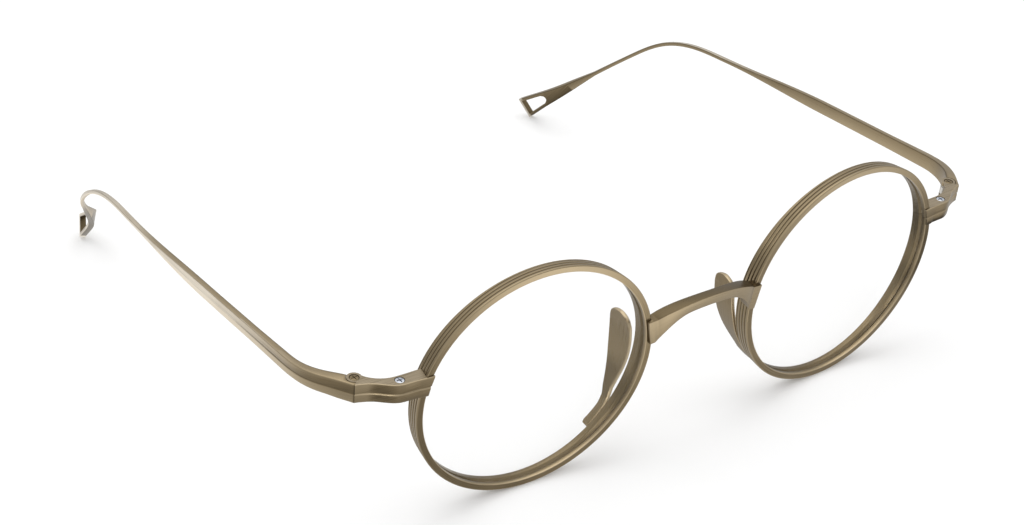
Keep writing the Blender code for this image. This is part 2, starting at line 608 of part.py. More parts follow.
def tip_window(side, parent, metal, stations, label):
    """The opening in the tip plate: wide at the end, with a round nose."""
    rear = TEMPLE_LENGTH - WINDOW_END_BAR
    middle_s = rear - WINDOW_LENGTH / 2
    s, place, along, up, out = min(stations, key=lambda station: abs(station[0] - middle_s))
    back = WINDOW_LENGTH / 2
    top = TIP_HEIGHT / 2 - WINDOW_SIDE_BAR
    nose = -WINDOW_LENGTH / 2 + WINDOW_NOSE_RADIUS
    outline = [(back, -top), (back, top)]
    for i in range(9):
        angle = math.radians(100 + 160 * i / 8)
        outline.append((nose + WINDOW_NOSE_RADIUS * math.cos(angle), WINDOW_NOSE_RADIUS * math.sin(angle)))
    origin = Vector((HINGE_X, HINGE_Y, 0))
    rings = []
    for reach in (-3 * TIP_THICKNESS, 3 * TIP_THICKNESS):
        rings.append([place - origin + along * a + up * b + out * reach for a, b in outline])
    return add_piece("tip_window_" + label, rings, side, metal, parent)


def add_temple(label, side, parent, metal):
    """The temple, hung on its hinge axis, which is the parent's origin."""
    stations = temple_stations()
    origin = Vector((HINGE_X, HINGE_Y, 0))
    chosen = [st for i, st in enumerate(stations) if i % 3 == 0 and i < 60 or i % 8 == 0 and 60 <= i < 216
              or i % 4 == 0 and i >= 216]
    rings = [[p - origin for p in temple_ring(st)] for st in chosen]
    temple = add_piece("temple_" + label, rings, side, metal, parent)
    pocket = circle(KNUCKLE_RADIUS + POCKET_GAP, 36)
    low, high = BLOCK_BOTTOM - GAP, BLOCK_TOP + GAP
    cut(temple, add_prism("knuckle_pocket_" + label, pocket, low, high, side, metal, parent))
    slot = tang_outline(POCKET_GAP)
    low = BLOCK_MIDDLE - TANG_HEIGHT / 2 - POCKET_GAP
    high = BLOCK_MIDDLE + TANG_HEIGHT / 2 + POCKET_GAP
    cut(temple, add_prism("tang_slot_" + label, slot, low, high, side, metal, parent))
    cut(temple, tip_window(side, parent, metal, stations, label))
    return temple


def tang_outline(gap):
    """Plan of the tang of the middle knuckle, round the hinge axis, grown by a gap."""
    along = Vector((math.sin(TEMPLE_SWEEP), math.cos(TEMPLE_SWEEP)))
    across = Vector((math.cos(TEMPLE_SWEEP), -math.sin(TEMPLE_SWEEP)))
    start = Vector((TEMPLE_START_X - HINGE_X, TEMPLE_START_Y - HINGE_Y))
    offset = start.dot(across)
    near = 0.0
    far = TANG_LENGTH + gap
    half = TANG_WIDTH / 2 + gap
    corners = ((near, offset - half), (near, offset + half), (far, offset + half), (far, offset - half))
    return [tuple(along * a + across * b) for a, b in corners]


def add_temple_knuckle(label, side, parent, metal):
    """The middle knuckle of the hinge, with the tang that is brazed into the temple."""
    low = BLOCK_MIDDLE - TANG_HEIGHT / 2
    high = BLOCK_MIDDLE + TANG_HEIGHT / 2
    knuckle = add_prism("temple_knuckle_" + label, circle(KNUCKLE_RADIUS, 36), low, high, side, metal, parent)
    join(knuckle, add_prism("tang_" + label, tang_outline(0.0), low, high, side, metal, parent))
    bore = circle(SHANK_RADIUS + SHANK_GAP, 20)
    cut(knuckle, add_prism("knuckle_bore_" + label, bore, low - GAP, high + GAP, side, metal, parent))
    return knuckle


def add_empty(name, parent, place):
    empty = bpy.data.objects.new(name, None)
    bpy.context.scene.collection.objects.link(empty)
    empty.parent = parent
    empty.location = place
    return empty


def world_points(pieces):
    """Every corner of the pieces, as they are evaluated."""
    bpy.context.view_layer.update()
    graph = bpy.context.evaluated_depsgraph_get()
    points = []
    for piece in pieces:
        evaluated = piece.evaluated_get(graph)
        mesh = evaluated.to_mesh()
        points += [evaluated.matrix_world @ vertex.co for vertex in mesh.vertices]
        evaluated.to_mesh_clear()
    return points


def stand_on_table(stand, front_pieces, rear_pieces, every_piece):
    """Lean the frame on its rims and tips, with the origin under the middle of its box."""
    front = world_points(front_pieces)
    rear = world_points(rear_pieces)
    lean = 0.0
    for _ in range(8):
        up = Vector((0, math.sin(lean), math.cos(lean)))
        low_front = min(front, key=up.dot)
        low_rear = min(rear, key=up.dot)
        lean = math.atan2(low_front.z - low_rear.z, low_rear.y - low_front.y)
    stand.rotation_euler = (lean, 0, 0)
    points = world_points(every_piece)
    for axis in range(3):
        low = min(point[axis] for point in points)
        high = max(point[axis] for point in points)
        stand.location[axis] -= low if axis == 2 else (low + high) / 2


def build():
    clear_scene()
    bronze = make_material("antique_bronze", (0.36, 0.29, 0.19), 0.33, 1.0)
    screw_bronze = make_material("screw_bronze", (0.30, 0.24, 0.16), 0.3, 1.0)
    silver = make_material("screw_silver", (0.75, 0.75, 0.76), 0.22, 1.0)
    white_metal = make_material("knuckle_metal", (0.62, 0.60, 0.56), 0.25, 1.0)
    nylon = make_material("washer_nylon", (0.70, 0.68, 0.62), 0.5, 0.0)
    glass = make_material("clear_lens", (1.0, 1.0, 1.0), 0.02, 0.0, 1.0)
    stand = add_empty("stand", None, (0, 0, 0))
    rims = []
    temples = []
    others = [add_bridge(stand, bronze)]
    for label, side in SIDES.items():
        rims.append(add_rim(label, side, stand, bronze))
        others.append(add_lens(label, side, stand, glass))
        others.append(add_nose_pad(label, side, stand, bronze))
        others.append(add_block_half(label, side, stand, bronze, True))
        others.append(add_block_half(label, side, stand, bronze, False))
        others.append(add_screw("lock_screw_" + label, side, stand, silver, LOCK_SCREW_X, LOCK_SCREW_Y))
        others.append(add_screw("hinge_screw_" + label, side, stand, screw_bronze, HINGE_X, HINGE_Y))
        lower_washer = BLOCK_BOTTOM + KNUCKLE_HEIGHT + HINGE_PLAY
        upper_washer = BLOCK_TOP - KNUCKLE_HEIGHT - HINGE_PLAY - WASHER_THICKNESS
        others.append(add_washer("hinge_washer_lower_" + label, side, stand, nylon, lower_washer))
        others.append(add_washer("hinge_washer_upper_" + label, side, stand, nylon, upper_washer))
        axis = add_empty("hinge_axis_" + label, stand, (side * HINGE_X, HINGE_Y, 0))
        temples.append(add_temple(label, side, axis, bronze))
        others.append(add_temple_knuckle(label, side, axis, white_metal))
    stand_on_table(stand, rims, temples, rims + temples + others)


build()
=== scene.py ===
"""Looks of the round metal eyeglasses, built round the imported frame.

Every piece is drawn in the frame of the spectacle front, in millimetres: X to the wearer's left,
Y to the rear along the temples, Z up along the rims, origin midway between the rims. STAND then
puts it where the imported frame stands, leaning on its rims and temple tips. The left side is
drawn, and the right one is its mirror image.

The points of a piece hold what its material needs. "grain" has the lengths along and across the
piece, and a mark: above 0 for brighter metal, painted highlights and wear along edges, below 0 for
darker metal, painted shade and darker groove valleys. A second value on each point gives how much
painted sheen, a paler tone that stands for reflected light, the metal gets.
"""
import json
import math

import bmesh
import bpy
from mathutils import Matrix, Vector


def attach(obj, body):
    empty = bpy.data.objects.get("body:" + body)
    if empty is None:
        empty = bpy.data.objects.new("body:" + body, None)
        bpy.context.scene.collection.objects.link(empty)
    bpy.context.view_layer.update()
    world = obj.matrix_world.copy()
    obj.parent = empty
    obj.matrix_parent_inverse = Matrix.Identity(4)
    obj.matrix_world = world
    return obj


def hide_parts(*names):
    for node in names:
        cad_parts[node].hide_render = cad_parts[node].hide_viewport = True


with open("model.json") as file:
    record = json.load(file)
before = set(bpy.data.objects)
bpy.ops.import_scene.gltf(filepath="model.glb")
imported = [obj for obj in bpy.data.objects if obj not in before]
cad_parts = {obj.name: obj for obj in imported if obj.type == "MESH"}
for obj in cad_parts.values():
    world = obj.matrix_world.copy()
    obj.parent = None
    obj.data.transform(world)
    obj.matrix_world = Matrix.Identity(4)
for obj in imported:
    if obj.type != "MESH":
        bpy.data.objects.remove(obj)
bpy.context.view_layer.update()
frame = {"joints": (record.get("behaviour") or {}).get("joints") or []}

MM = 0.001
SIDES = {"left": 1, "right": -1}
FRONT_BODY = "front"

# Rims and lenses, in millimetres
RIM_SPACING = 68.3
RIM_OUTER = 23.25
RIM_RATIO = 44.4 / 46.5
RIM_WALL = 1.28
RIM_INNER = RIM_OUTER - RIM_WALL
RIM_DEPTH_TOP = 2.6
RIM_DEPTH_SIDE = 3.5
RIM_BACK_TAPER = 0.4
RIM_WRAP = math.radians(2.9)
RIM_FRONT_CURVE = 0.13
RIM_SLIT = 0.1
RIM_STEPS = 300
BAND_GROOVES = (0.7, 1.48, 2.26, 3.04)
BAND_GROOVE_WIDTH = 0.32
BAND_GROOVE_DEPTH = 0.16
BAND_GROOVE_TO_BACK = 0.12
LENS_GROOVE_WIDTH = 0.95
LENS_GROOVE_DEPTH = 0.5
LENS_THICKNESS = 1.8
LENS_CURVE = 150.0
LENS_EDGE_FROM_FRONT = 1.25
LENS_GAP = 0.05
LENS_EDGE_GAP = 0.1

# Closing blocks and hinges
BLOCK_HEIGHT = 3.65
BLOCK_MIDDLE = 5.76
BLOCK_TOP = BLOCK_MIDDLE + BLOCK_HEIGHT / 2
BLOCK_BOTTOM = BLOCK_MIDDLE - BLOCK_HEIGHT / 2
LOCK_SCREW = (60.15, 2.7)
HINGE = (66.2, 6.7)
KNUCKLE_RADIUS = 1.3
KNUCKLE_HEIGHT = 0.8
KNUCKLE_EDGE = 0.05
KNUCKLE_BORE = 0.58
POCKET_RADIUS = 1.41
SLOT_GAP = 0.07
WASHER_RADIUS = 1.25
WASHER_BORE = 0.6
WASHER_THICKNESS = 0.15
HINGE_PLAY = 0.1
TANG_HEIGHT = BLOCK_HEIGHT - 2 * (KNUCKLE_HEIGHT + WASHER_THICKNESS + 2 * HINGE_PLAY)
TANG_LENGTH = 3.3
TANG_HALF_WIDTH = 0.55
TANG_GAP = 0.1
SCREW_HEAD_RADIUS = 0.82
SCREW_HEAD_HEIGHT = 0.5
SCREW_BELOW_TOP = 0.02
SCREW_TURN = -0.08
SHANK_RADIUS = 0.5
BORE_GAP = 0.05
BORE_STEPS = 32
CUT_REACH = 1

# Temples
TEMPLE_START = (66.29, 5.52)
TEMPLE_LENGTH = 139.0
TEMPLE_SWEEP = math.radians(37.7)
TIP_ROLL = math.radians(12.5)
TIP_BAR = 0.75


def read_stand():
    """How the front stands in the frame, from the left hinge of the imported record."""
    joint = next(j for j in frame["joints"] if j["name"] == "fold_left")
    axis = Vector(joint["axis"])
    lean = Matrix.Rotation(math.atan2(-axis.y, axis.z), 4, "X")
    hinge = Vector((HINGE[0] * MM, HINGE[1] * MM, 0))
    return Matrix.Translation(Vector(joint["pos_m"]) - lean @ hinge) @ lean


STAND = read_stand()


# Drawing

def ease(value, start, end):
    """A smooth step from 0 at the start to 1 at the end."""
    t = min(max((value - start) / (end - start), 0.0), 1.0)
    return t * t * (3 - 2 * t)


def between(value, stations):
    """A value read off the straight lines between (place, value) stations."""
    if value <= stations[0][0]:
        return stations[0][1]
    for (a, va), (b, vb) in zip(stations, stations[1:]):
        if value <= b:
            return va + (vb - va) * (value - a) / (b - a)
    return stations[-1][1]


def curve_through(points, steps):
    """A smooth curve through points of any dimension."""
    vectors = [Vector(p) for p in points]
    out = []
    last = len(vectors) - 1
    for i in range(last):
        p0 = vectors[max(i - 1, 0)]
        p1, p2 = vectors[i], vectors[i + 1]
        p3 = vectors[min(i + 2, last)]
        for k in range(steps):
            t = k / steps
            out.append(0.5 * ((2 * p1) + (p2 - p0) * t + (2 * p0 - 5 * p1 + 4 * p2 - p3) * t * t
                              + (3 * p1 - p0 - 3 * p2 + p3) * t ** 3))
    out.append(vectors[last])
    return out


def rounded(corners, steps):
    """A closed outline with rounded corners, from (x, y, radius, mark); gives (x, y, mark) points."""
    out = []
    count = len(corners)
    for i, (x, y, radius, mark) in enumerate(corners):
        here = Vector((x, y))
        if radius <= 0:
            out.append((x, y, mark))
            continue
        before = (Vector(corners[i - 1][:2]) - here).normalized()
        after = (Vector(corners[(i + 1) % count][:2]) - here).normalized()
        half = before.angle(after) / 2
        reach = radius / math.tan(half)
        a, b = here + before * reach, here + after * reach
        middle = here + (before + after).normalized() * radius / math.sin(half)
        for k in range(steps + 1):
            p = middle + (a.lerp(b, k / steps) - middle).normalized() * radius
            out.append((p.x, p.y, mark))
    return out


def skin(name, rings, closed=False, side=1, along=None):
    """A mesh over rings of points, with the lengths along and across kept for its grain."""
    mesh = bpy.data.meshes.new(name)
    build = bmesh.new()
    grain = build.verts.layers.float_vector.new("grain")
    loops = []
    run = 0.0
    previous = None
    for number, ring in enumerate(rings):
        centre = sum((Vector(p) for p in ring), Vector()) / len(ring)
        if previous is not None:
            run += (centre - previous).length
        previous = centre
        loop = []
        across = 0.0
        for i, p in enumerate(ring):
            if i:
                across += (Vector(p) - Vector(ring[i - 1])).length
            vertex = build.verts.new((side * p[0] * MM, p[1] * MM, p[2] * MM))
            vertex[grain] = ((along[number] if along else run), across, 0.0)
            loop.append(vertex)
        loops.append(loop)
    count = len(loops[0])
    pairs = list(zip(loops, loops[1:]))
    if closed:
        pairs.append((loops[-1], loops[0]))
    for first, second in pairs:
        for i in range(count):
            j = (i + 1) % count
            build.faces.new((first[i], first[j], second[j], second[i]))
    if not closed:
        build.faces.new(reversed(loops[0]))
        build.faces.new(loops[-1])
    bmesh.ops.recalc_face_normals(build, faces=build.faces)
    build.to_mesh(mesh)
    build.free()
    piece = bpy.data.objects.new(name, mesh)
    bpy.context.scene.collection.objects.link(piece)
    return piece


def set_marks(piece, marks):
    """Write the mark of each point of a skin, ring by ring."""
    for point, mark in zip(piece.data.attributes["grain"].data, marks):
        point.vector.z = mark


def prism(name, outline, low, high, side):
    return skin(name, [[(x, y, z) for x, y in outline] for z in (low, high)], side=side)


def circle(radius, centre, steps=64):
    turns = [2 * math.pi * i / steps for i in range(steps)]
    return [(centre[0] + radius * math.cos(a), centre[1] + radius * math.sin(a)) for a in turns]


def lathe(name, profile, centre, side):
    """A turned solid from (radius, height) points, top to bottom."""
    rings = [[(x, y, z) for x, y in circle(r, centre)] for r, z in profile]
    return skin(name, rings, side=side)


def apply_tools(piece, tools, operation="DIFFERENCE", transfer=False):
    """Cut by, or join with, other solids, then drop them; a cut may keep the tool's material."""
    for tool in tools:
        boolean = piece.modifiers.new(tool.name, "BOOLEAN")
        boolean.operation = operation
        boolean.solver = "EXACT"
        if transfer:
            boolean.material_mode = "TRANSFER"
        boolean.object = tool
    bpy.context.view_layer.update()
    graph = bpy.context.evaluated_depsgraph_get()
    mesh = bpy.data.meshes.new_from_object(piece.evaluated_get(graph))
    piece.modifiers.clear()
    piece.data = mesh
    for tool in tools:
        bpy.data.objects.remove(tool, do_unlink=True)


def lay_grain(piece):
    """Give a cut piece a slanting grain over X, Y and Z, with no marks."""
    grain = piece.data.attributes["grain"].data
    for i, vertex in enumerate(piece.data.vertices):
        x, y, z = vertex.co / MM
        grain[i].vector = (abs(x) - 0.3 * y, z + 0.7 * y, 0.0)


def finish_piece(piece, material, body, nodes, sharp):
    """Smooth, dress and place a piece, and let it ride on its body."""
    mesh = piece.data
    mesh.materials.clear()
    mesh.materials.append(material)
    mesh.shade_smooth()
    mesh.set_sharp_from_angle(angle=math.radians(sharp))
    weighted = piece.modifiers.new("weighted_normals", "WEIGHTED_NORMAL")
    weighted.keep_sharp = True
    weighted.weight = 80
    mesh.transform(STAND)
    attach(piece, body)
    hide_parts(*nodes)


# Shader nodes

def add_node(tree, kind, place, inputs=None, **settings):
    """A node whose inputs take values, or links where they are given another node's output."""
    node = tree.nodes.new(kind)
    node.location = place
    for key, value in settings.items():
        setattr(node, key, value)
    for key, value in (inputs or {}).items():
        if isinstance(value, bpy.types.NodeSocket):
            tree.links.new(value, node.inputs[key])
        else:
            node.inputs[key].default_value = value
    return node


def calculate(tree, place, operation, *values, clamp=False):
    return add_node(tree, "ShaderNodeMath", place, dict(enumerate(values)), operation=operation,
                    use_clamp=clamp).outputs[0]


def map_range(tree, place, value, before, after, **settings):
    """A value taken from the range before, (low, high), to the range after."""
    inputs = {"Value": value, "From Min": before[0], "From Max": before[1],
              "To Min": after[0], "To Max": after[1]}
    return add_node(tree, "ShaderNodeMapRange", place, inputs, **settings).outputs["Result"]


def mix_colours(tree, place, factor, first, second):
    return add_node(tree, "ShaderNodeMix", place, {"Factor": factor, "A": first, "B": second},
                    data_type="RGBA").outputs["Result"]


def mix_shaders(tree, place, factor, first, second):
    return add_node(tree, "ShaderNodeMixShader", place, {0: factor, 1: first, 2: second}).outputs[0]


def new_material(name):
    """A material with its node tree and its main shader."""
    material = bpy.data.materials.new(name)
    material.use_nodes = True
    return material, material.node_tree, material.node_tree.nodes["Principled BSDF"]


# Materials

STREAK_LENGTH = 6.0
STREAK_WIDTH = 0.13
STREAK_CONTRAST = (0.3, 0.7)
CLOUDS_PER_METRE = 160.0
SPECKS_PER_METRE = 9000.0
STREAK_SHARE = 0.6
CLOUD_SHARE = 0.5
# How strongly marks above 0 paint highlights and wear, and marks below 0 paint shade
HIGHLIGHT_AND_WEAR = 0.7
SHADE_STRENGTH = 0.55
SHADE_TONE = 0.4
# Painted sheen: a paler tone that stands for reflected light, laid on in patches
SHEEN_TONE = (0.7, 0.64, 0.54, 1)
SHEEN_PATCHES = 0.9
SHEEN_LEAST = 0.3
SPECK_RELIEF = 0.25
GRAIN_RELIEF = 0.000006

# Name: dark tone, base tone, tone of painted highlights and wear, roughness from and to
METALS = {
    "bronze_look": ((0.13, 0.096, 0.05), (0.255, 0.197, 0.117), (0.58, 0.47, 0.31), (0.26, 0.38)),
    "screw_bronze_look": ((0.13, 0.096, 0.05), (0.26, 0.2, 0.118), (0.5, 0.4, 0.26), (0.26, 0.38)),
    "screw_silver_look": ((0.4, 0.42, 0.46), (0.58, 0.6, 0.64), (0.8, 0.8, 0.8), (0.15, 0.25)),
    "knuckle_look": ((0.42, 0.40, 0.36), (0.66, 0.64, 0.60), (0.8, 0.78, 0.74), (0.2, 0.3)),
}


def brushed_metal(name):
    """Satin metal: fine grain along each piece, soft clouding, painted highlights and wear, painted shade
    and sheen.
    """
    dark, base, bright, roughness = METALS[name]
    material, tree, shader = new_material(name)
    grain = add_node(tree, "ShaderNodeAttribute", (-1400, 0), attribute_name="grain").outputs["Vector"]
    mark = add_node(tree, "ShaderNodeSeparateXYZ", (-1200, 200), {0: grain}).outputs["Z"]
    painted_sheen = add_node(tree, "ShaderNodeAttribute", (-650, 750), attribute_name="painted_sheen").outputs["Fac"]
    place = add_node(tree, "ShaderNodeTexCoord", (-1400, -300)).outputs["Object"]
    stretch = add_node(tree, "ShaderNodeMapping", (-1200, 0),
                       {"Vector": grain, "Scale": (1 / STREAK_LENGTH, 1 / STREAK_WIDTH, 0)}).outputs[0]
    streaks = add_node(tree, "ShaderNodeTexNoise", (-1000, 0),
                       {"Vector": stretch, "Scale": 1.0, "Detail": 3.0}).outputs["Fac"]
    clouds = add_node(tree, "ShaderNodeTexNoise", (-1000, -300),
                      {"Vector": place, "Scale": CLOUDS_PER_METRE, "Detail": 4.0}).outputs["Fac"]
    specks = add_node(tree, "ShaderNodeTexNoise", (-1000, -550),
                      {"Vector": place, "Scale": SPECKS_PER_METRE, "Detail": 1.0}).outputs["Fac"]

    lines = map_range(tree, (-850, 100), streaks, STREAK_CONTRAST, (0.0, 1.0))
    soft = calculate(tree, (-850, -250), "MULTIPLY", clouds, CLOUD_SHARE)
    blend = calculate(tree, (-850, -50), "MULTIPLY_ADD", lines, STREAK_SHARE, soft)
    tone = mix_colours(tree, (-700, 100), blend, (*dark, 1), (*base, 1))
    # Marks above 0 lighten towards the bright tone: painted highlights, with wear on edges
    highlight_and_wear = calculate(tree, (-650, 350), "MULTIPLY", mark, HIGHLIGHT_AND_WEAR, clamp=True)
    tone = mix_colours(tree, (-450, 150), highlight_and_wear, tone, (*bright, 1))
    # Marks below 0 darken: painted shade, which also darkens the groove valleys
    painted_shade = calculate(tree, (-650, 550), "MULTIPLY", mark, -SHADE_STRENGTH, clamp=True)
    tone = mix_colours(tree, (-250, 250), painted_shade, tone, (*(value * SHADE_TONE for value in dark), 1))
    # A paler tone in patches along the streaks, where the points ask for it: a painted sheen for reflected
    # light
    patchy = calculate(tree, (-550, 500), "MULTIPLY_ADD", blend, SHEEN_PATCHES, SHEEN_LEAST)
    painted_light = calculate(tree, (-400, 600), "MULTIPLY", painted_sheen, patchy, clamp=True)
    tone = mix_colours(tree, (-100, 400), painted_light, tone, SHEEN_TONE)

    rough = map_range(tree, (-650, -100), streaks, STREAK_CONTRAST, roughness)
    relief = calculate(tree, (-650, -450), "MULTIPLY_ADD", specks, SPECK_RELIEF, streaks)
    bump = add_node(tree, "ShaderNodeBump", (-350, -350),
                    {"Strength": 0.2, "Distance": GRAIN_RELIEF, "Height": relief}).outputs["Normal"]
    shader.inputs["Metallic"].default_value = 1.0
    tree.links.new(tone, shader.inputs["Base Color"])
    tree.links.new(rough, shader.inputs["Roughness"])
    tree.links.new(bump, shader.inputs["Normal"])
    return material


def clear_glass():
    """Almost invisible lens material, with a breath of unevenness in its coating."""
    material, tree, shader = new_material("lens_look")
    shader.inputs["Base Color"].default_value = (0.5, 0.52, 0.5, 1)
    shader.inputs["Roughness"].default_value = 0.02
    shader.inputs["IOR"].default_value = 1.5
    noise = add_node(tree, "ShaderNodeTexNoise", (-600, 0), {"Scale": 40.0}).outputs["Fac"]
    veil = map_range(tree, (-300, 0), noise, (0.0, 1.0), (0.012, 0.03))
    tree.links.new(veil, shader.inputs["Alpha"])
    return material


def washer_plastic():
    """Matte off-white plastic with a fine mottle."""
    material, tree, shader = new_material("washer_look")
    shader.inputs["Roughness"].default_value = 0.5
    noise = add_node(tree, "ShaderNodeTexNoise", (-600, 0), {"Scale": 3000.0}).outputs["Fac"]
    tone = mix_colours(tree, (-300, 0), noise, (0.62, 0.60, 0.54, 1), (0.74, 0.72, 0.66, 1))
    tree.links.new(tone, shader.inputs["Base Color"])
    return material


# Rims and lenses

LIP_ROUND = 0.07
GROOVE_ROUND = 0.03
FRONT_ROUND = 0.16
# Marks of the rim: painted highlights on the edges, the reed crests and the front face towards the top;
# darker valleys between the reeds
LIP_MARK = 0.9
FRONT_TOP_HIGHLIGHT = 0.6
FRONT_EDGE_MARK = 0.45
REED_MARK = 0.3
REED_HOLLOW = -1.5
LIP_BORDER = 0.14
FRONT_BORDER = 0.26


def rim_depth(angle):
    return RIM_DEPTH_TOP + (RIM_DEPTH_SIDE - RIM_DEPTH_TOP) * math.cos(angle) ** 2


def rim_front(angle):
    return RIM_FRONT_CURVE * math.cos(angle) ** 2


def reach_on_rim(radius, angle):
    """Distance from the rim's centre, across its slightly flattened round."""
    return radius * math.hypot(math.cos(angle), RIM_RATIO * math.sin(angle))


def lens_set_back(reach):
    """How far the lens's middle layer lies behind the rim's front, at a reach from the centre."""
    return LENS_EDGE_FROM_FRONT + (reach ** 2 - (RIM_RATIO * RIM_INNER) ** 2) / (2 * LENS_CURVE)


def on_rim(radius, angle, set_back):
    """A point of the rim's own round, turned back and set beside the middle."""
    x, y, z = radius * math.cos(angle), set_back, RIM_RATIO * radius * math.sin(angle)
    return (RIM_SPACING / 2 + x * math.cos(RIM_WRAP) - y * math.sin(RIM_WRAP),
            x * math.sin(RIM_WRAP) + y * math.cos(RIM_WRAP), z)


def rim_section(angle):
    """Outline of the rim with its reeds outside and the lens groove inside, and its marks of painted
    highlight and shade.
    """
    front, depth = rim_front(angle), rim_depth(angle)
    # The front face is painted lighter towards the top, a painted highlight
    painted_light = FRONT_TOP_HIGHLIGHT * max(math.sin(angle), 0) ** 2
    corners = [(RIM_INNER, front, LIP_ROUND, LIP_MARK), (RIM_INNER + LIP_BORDER, front, 0, painted_light),
               (RIM_OUTER - FRONT_BORDER, front, 0, painted_light),
               (RIM_OUTER, front, FRONT_ROUND, FRONT_EDGE_MARK)]
    for distance in BAND_GROOVES:
        # A groove that comes near the rim's back fades out, but keeps its points
        fade = ease(depth - distance, 0.2, 0.5) + 0.002
        half = BAND_GROOVE_WIDTH / 2 * min(1.0, fade + 0.1)
        middle = min(front + distance, depth - BAND_GROOVE_TO_BACK - half)
        radius = RIM_OUTER - RIM_BACK_TAPER * middle / depth
        corners += [(radius, middle - half, LIP_ROUND, REED_MARK),
                    (radius - BAND_GROOVE_DEPTH * fade, middle, GROOVE_ROUND, REED_HOLLOW),
                    (radius, middle + half, LIP_ROUND, REED_MARK)]
    groove = lens_set_back(reach_on_rim(RIM_INNER, angle))
    # A painted highlight on the outer back edge, and painted shade down the inner face and in the lens
    # groove
    corners += [(RIM_OUTER - RIM_BACK_TAPER, depth, 0.1, 1), (RIM_INNER, depth, 0.08, 0),
                (RIM_INNER, groove + LENS_GROOVE_WIDTH / 2, GROOVE_ROUND, -0.25),
                (RIM_INNER + LENS_GROOVE_DEPTH, groove, 0.05, -0.6),
                (RIM_INNER, groove - LENS_GROOVE_WIDTH / 2, GROOVE_ROUND, -0.3)]
    return rounded(corners, 2)


def make_rim(label, side, metal):
    """A ring that is slit where the two halves of the closing block meet."""
    split = math.asin(BLOCK_MIDDLE / (RIM_RATIO * RIM_OUTER))
    half_slit = RIM_SLIT / 2 / RIM_OUTER
    sweep = 2 * math.pi - 2 * half_slit
    angles = [split + half_slit + sweep * i / RIM_STEPS for i in range(RIM_STEPS + 1)]
    sections = [rim_section(a) for a in angles]
    rings = [[on_rim(r, a, y) for r, y, _ in section] for a, section in zip(angles, sections)]
    rim = skin("rim_look_" + label, rings, side=side, along=[a * RIM_OUTER for a in angles])
    set_marks(rim, [mark for section in sections for _, _, mark in section])
    finish_piece(rim, metal, FRONT_BODY, ["rim_" + label], 30)


def make_lens(label, side, glass):
    """A curved disc whose pointed edge lies in the rim's groove."""
    half = LENS_THICKNESS / 2
    rows, steps = 14, 160
    radii = [(RIM_INNER - LENS_GAP) * i / rows for i in range(1, rows + 1)]
    profile = [(r, -half) for r in radii] + [(RIM_INNER + LENS_GROOVE_DEPTH - LENS_EDGE_GAP, 0.0)]
    profile += [(r, half) for r in reversed(radii)]
    angles = [2 * math.pi * i / steps for i in range(steps)]
    rings = [[on_rim(r, a, lens_set_back(reach_on_rim(r, a)) + offset) for a in angles]
             for r, offset in profile]
    lens = skin("lens_look_" + label, rings, side=side)
    finish_piece(lens, glass, FRONT_BODY, ["lens_" + label], 20)


def rim_room(name, side):
    """The room that a rim takes, as a cutter that also clears 2 mm inside the rim."""
    gap = 0.02
    far = RIM_INNER - 2
    outer = RIM_OUTER + gap
    slim = outer - RIM_BACK_TAPER
    rings = []
    for i in range(RIM_STEPS):
        angle = 2 * math.pi * i / RIM_STEPS
        front, back = rim_front(angle) - gap, rim_depth(angle) + gap
        section = ((outer, front), (slim, back), (far, back), (far, front))
        rings.append([on_rim(r, angle, y) for r, y in section])
    return skin(name, rings, closed=True, side=side)


# Bridge

BRIDGE_BEND = 10.6
BRIDGE_END = 12.35
BRIDGE_STEPS = 110
BRIDGE_HEIGHT = 2.1
BRIDGE_FLARE = 2.6
BRIDGE_FLARE_START = 4
BRIDGE_FLARE_RUN = 7.2
BRIDGE_FRONT_LEAN = 0.3
BRIDGE_REAR_LEAN = 0.25
BRIDGE_END_SLANT = 0.2
BRIDGE_END_MIDDLE = 4.2
# Marks: painted highlights on the ridge and the lower front edge, painted shade on the top face
RIDGE_MARK = 0.5
BRIDGE_LOW_MARK = 0.3
BRIDGE_TOP_SHADE = -0.9
BRIDGE_SOFT_FADE = (6, 10)
BRIDGE_LEAN_FADE = (5, 10.5)
PLATE_BACKWARDS = 0.05
PLATE_DOWNWARDS = 0.1

# Set-back and level of two edges, each as (at the middle, share of the square, share of the fourth power)
RIDGE_ARCH = ((-3.7, 1.39, 0.61), (8.78, -2.42, -0.7))
TOP_ARCH = ((-1.66, 2.75, -0.75), (8.65, -2.44, -0.43))


def bridge_edges(x):
    """Ridge, lower front, lower rear and rear top edges of the bridge at a distance from the middle."""
    square = (min(x, BRIDGE_BEND) / BRIDGE_BEND) ** 2
    past = max(x - BRIDGE_BEND, 0)
    edges = []
    for arch in (RIDGE_ARCH, TOP_ARCH):
        y, z = (start + share * square + more * square * square for start, share, more in arch)
        edge = Vector((x, y, z))
        edge.y += PLATE_BACKWARDS * past
        edge.z -= PLATE_DOWNWARDS * past
        edges.append(edge)
    ridge, top = edges
    flare = min(max((x - BRIDGE_FLARE_START) / BRIDGE_FLARE_RUN, 0) ** 2, 1)
    low = BRIDGE_HEIGHT + BRIDGE_FLARE * flare
    lean = 1 - ease(x, *BRIDGE_LEAN_FADE)
    front = Vector((x, ridge.y + BRIDGE_FRONT_LEAN * lean, ridge.z - low))
    rear = Vector((x, top.y - BRIDGE_REAR_LEAN * lean, top.z - low + BRIDGE_REAR_LEAN * lean))
    return ridge, front, rear, top


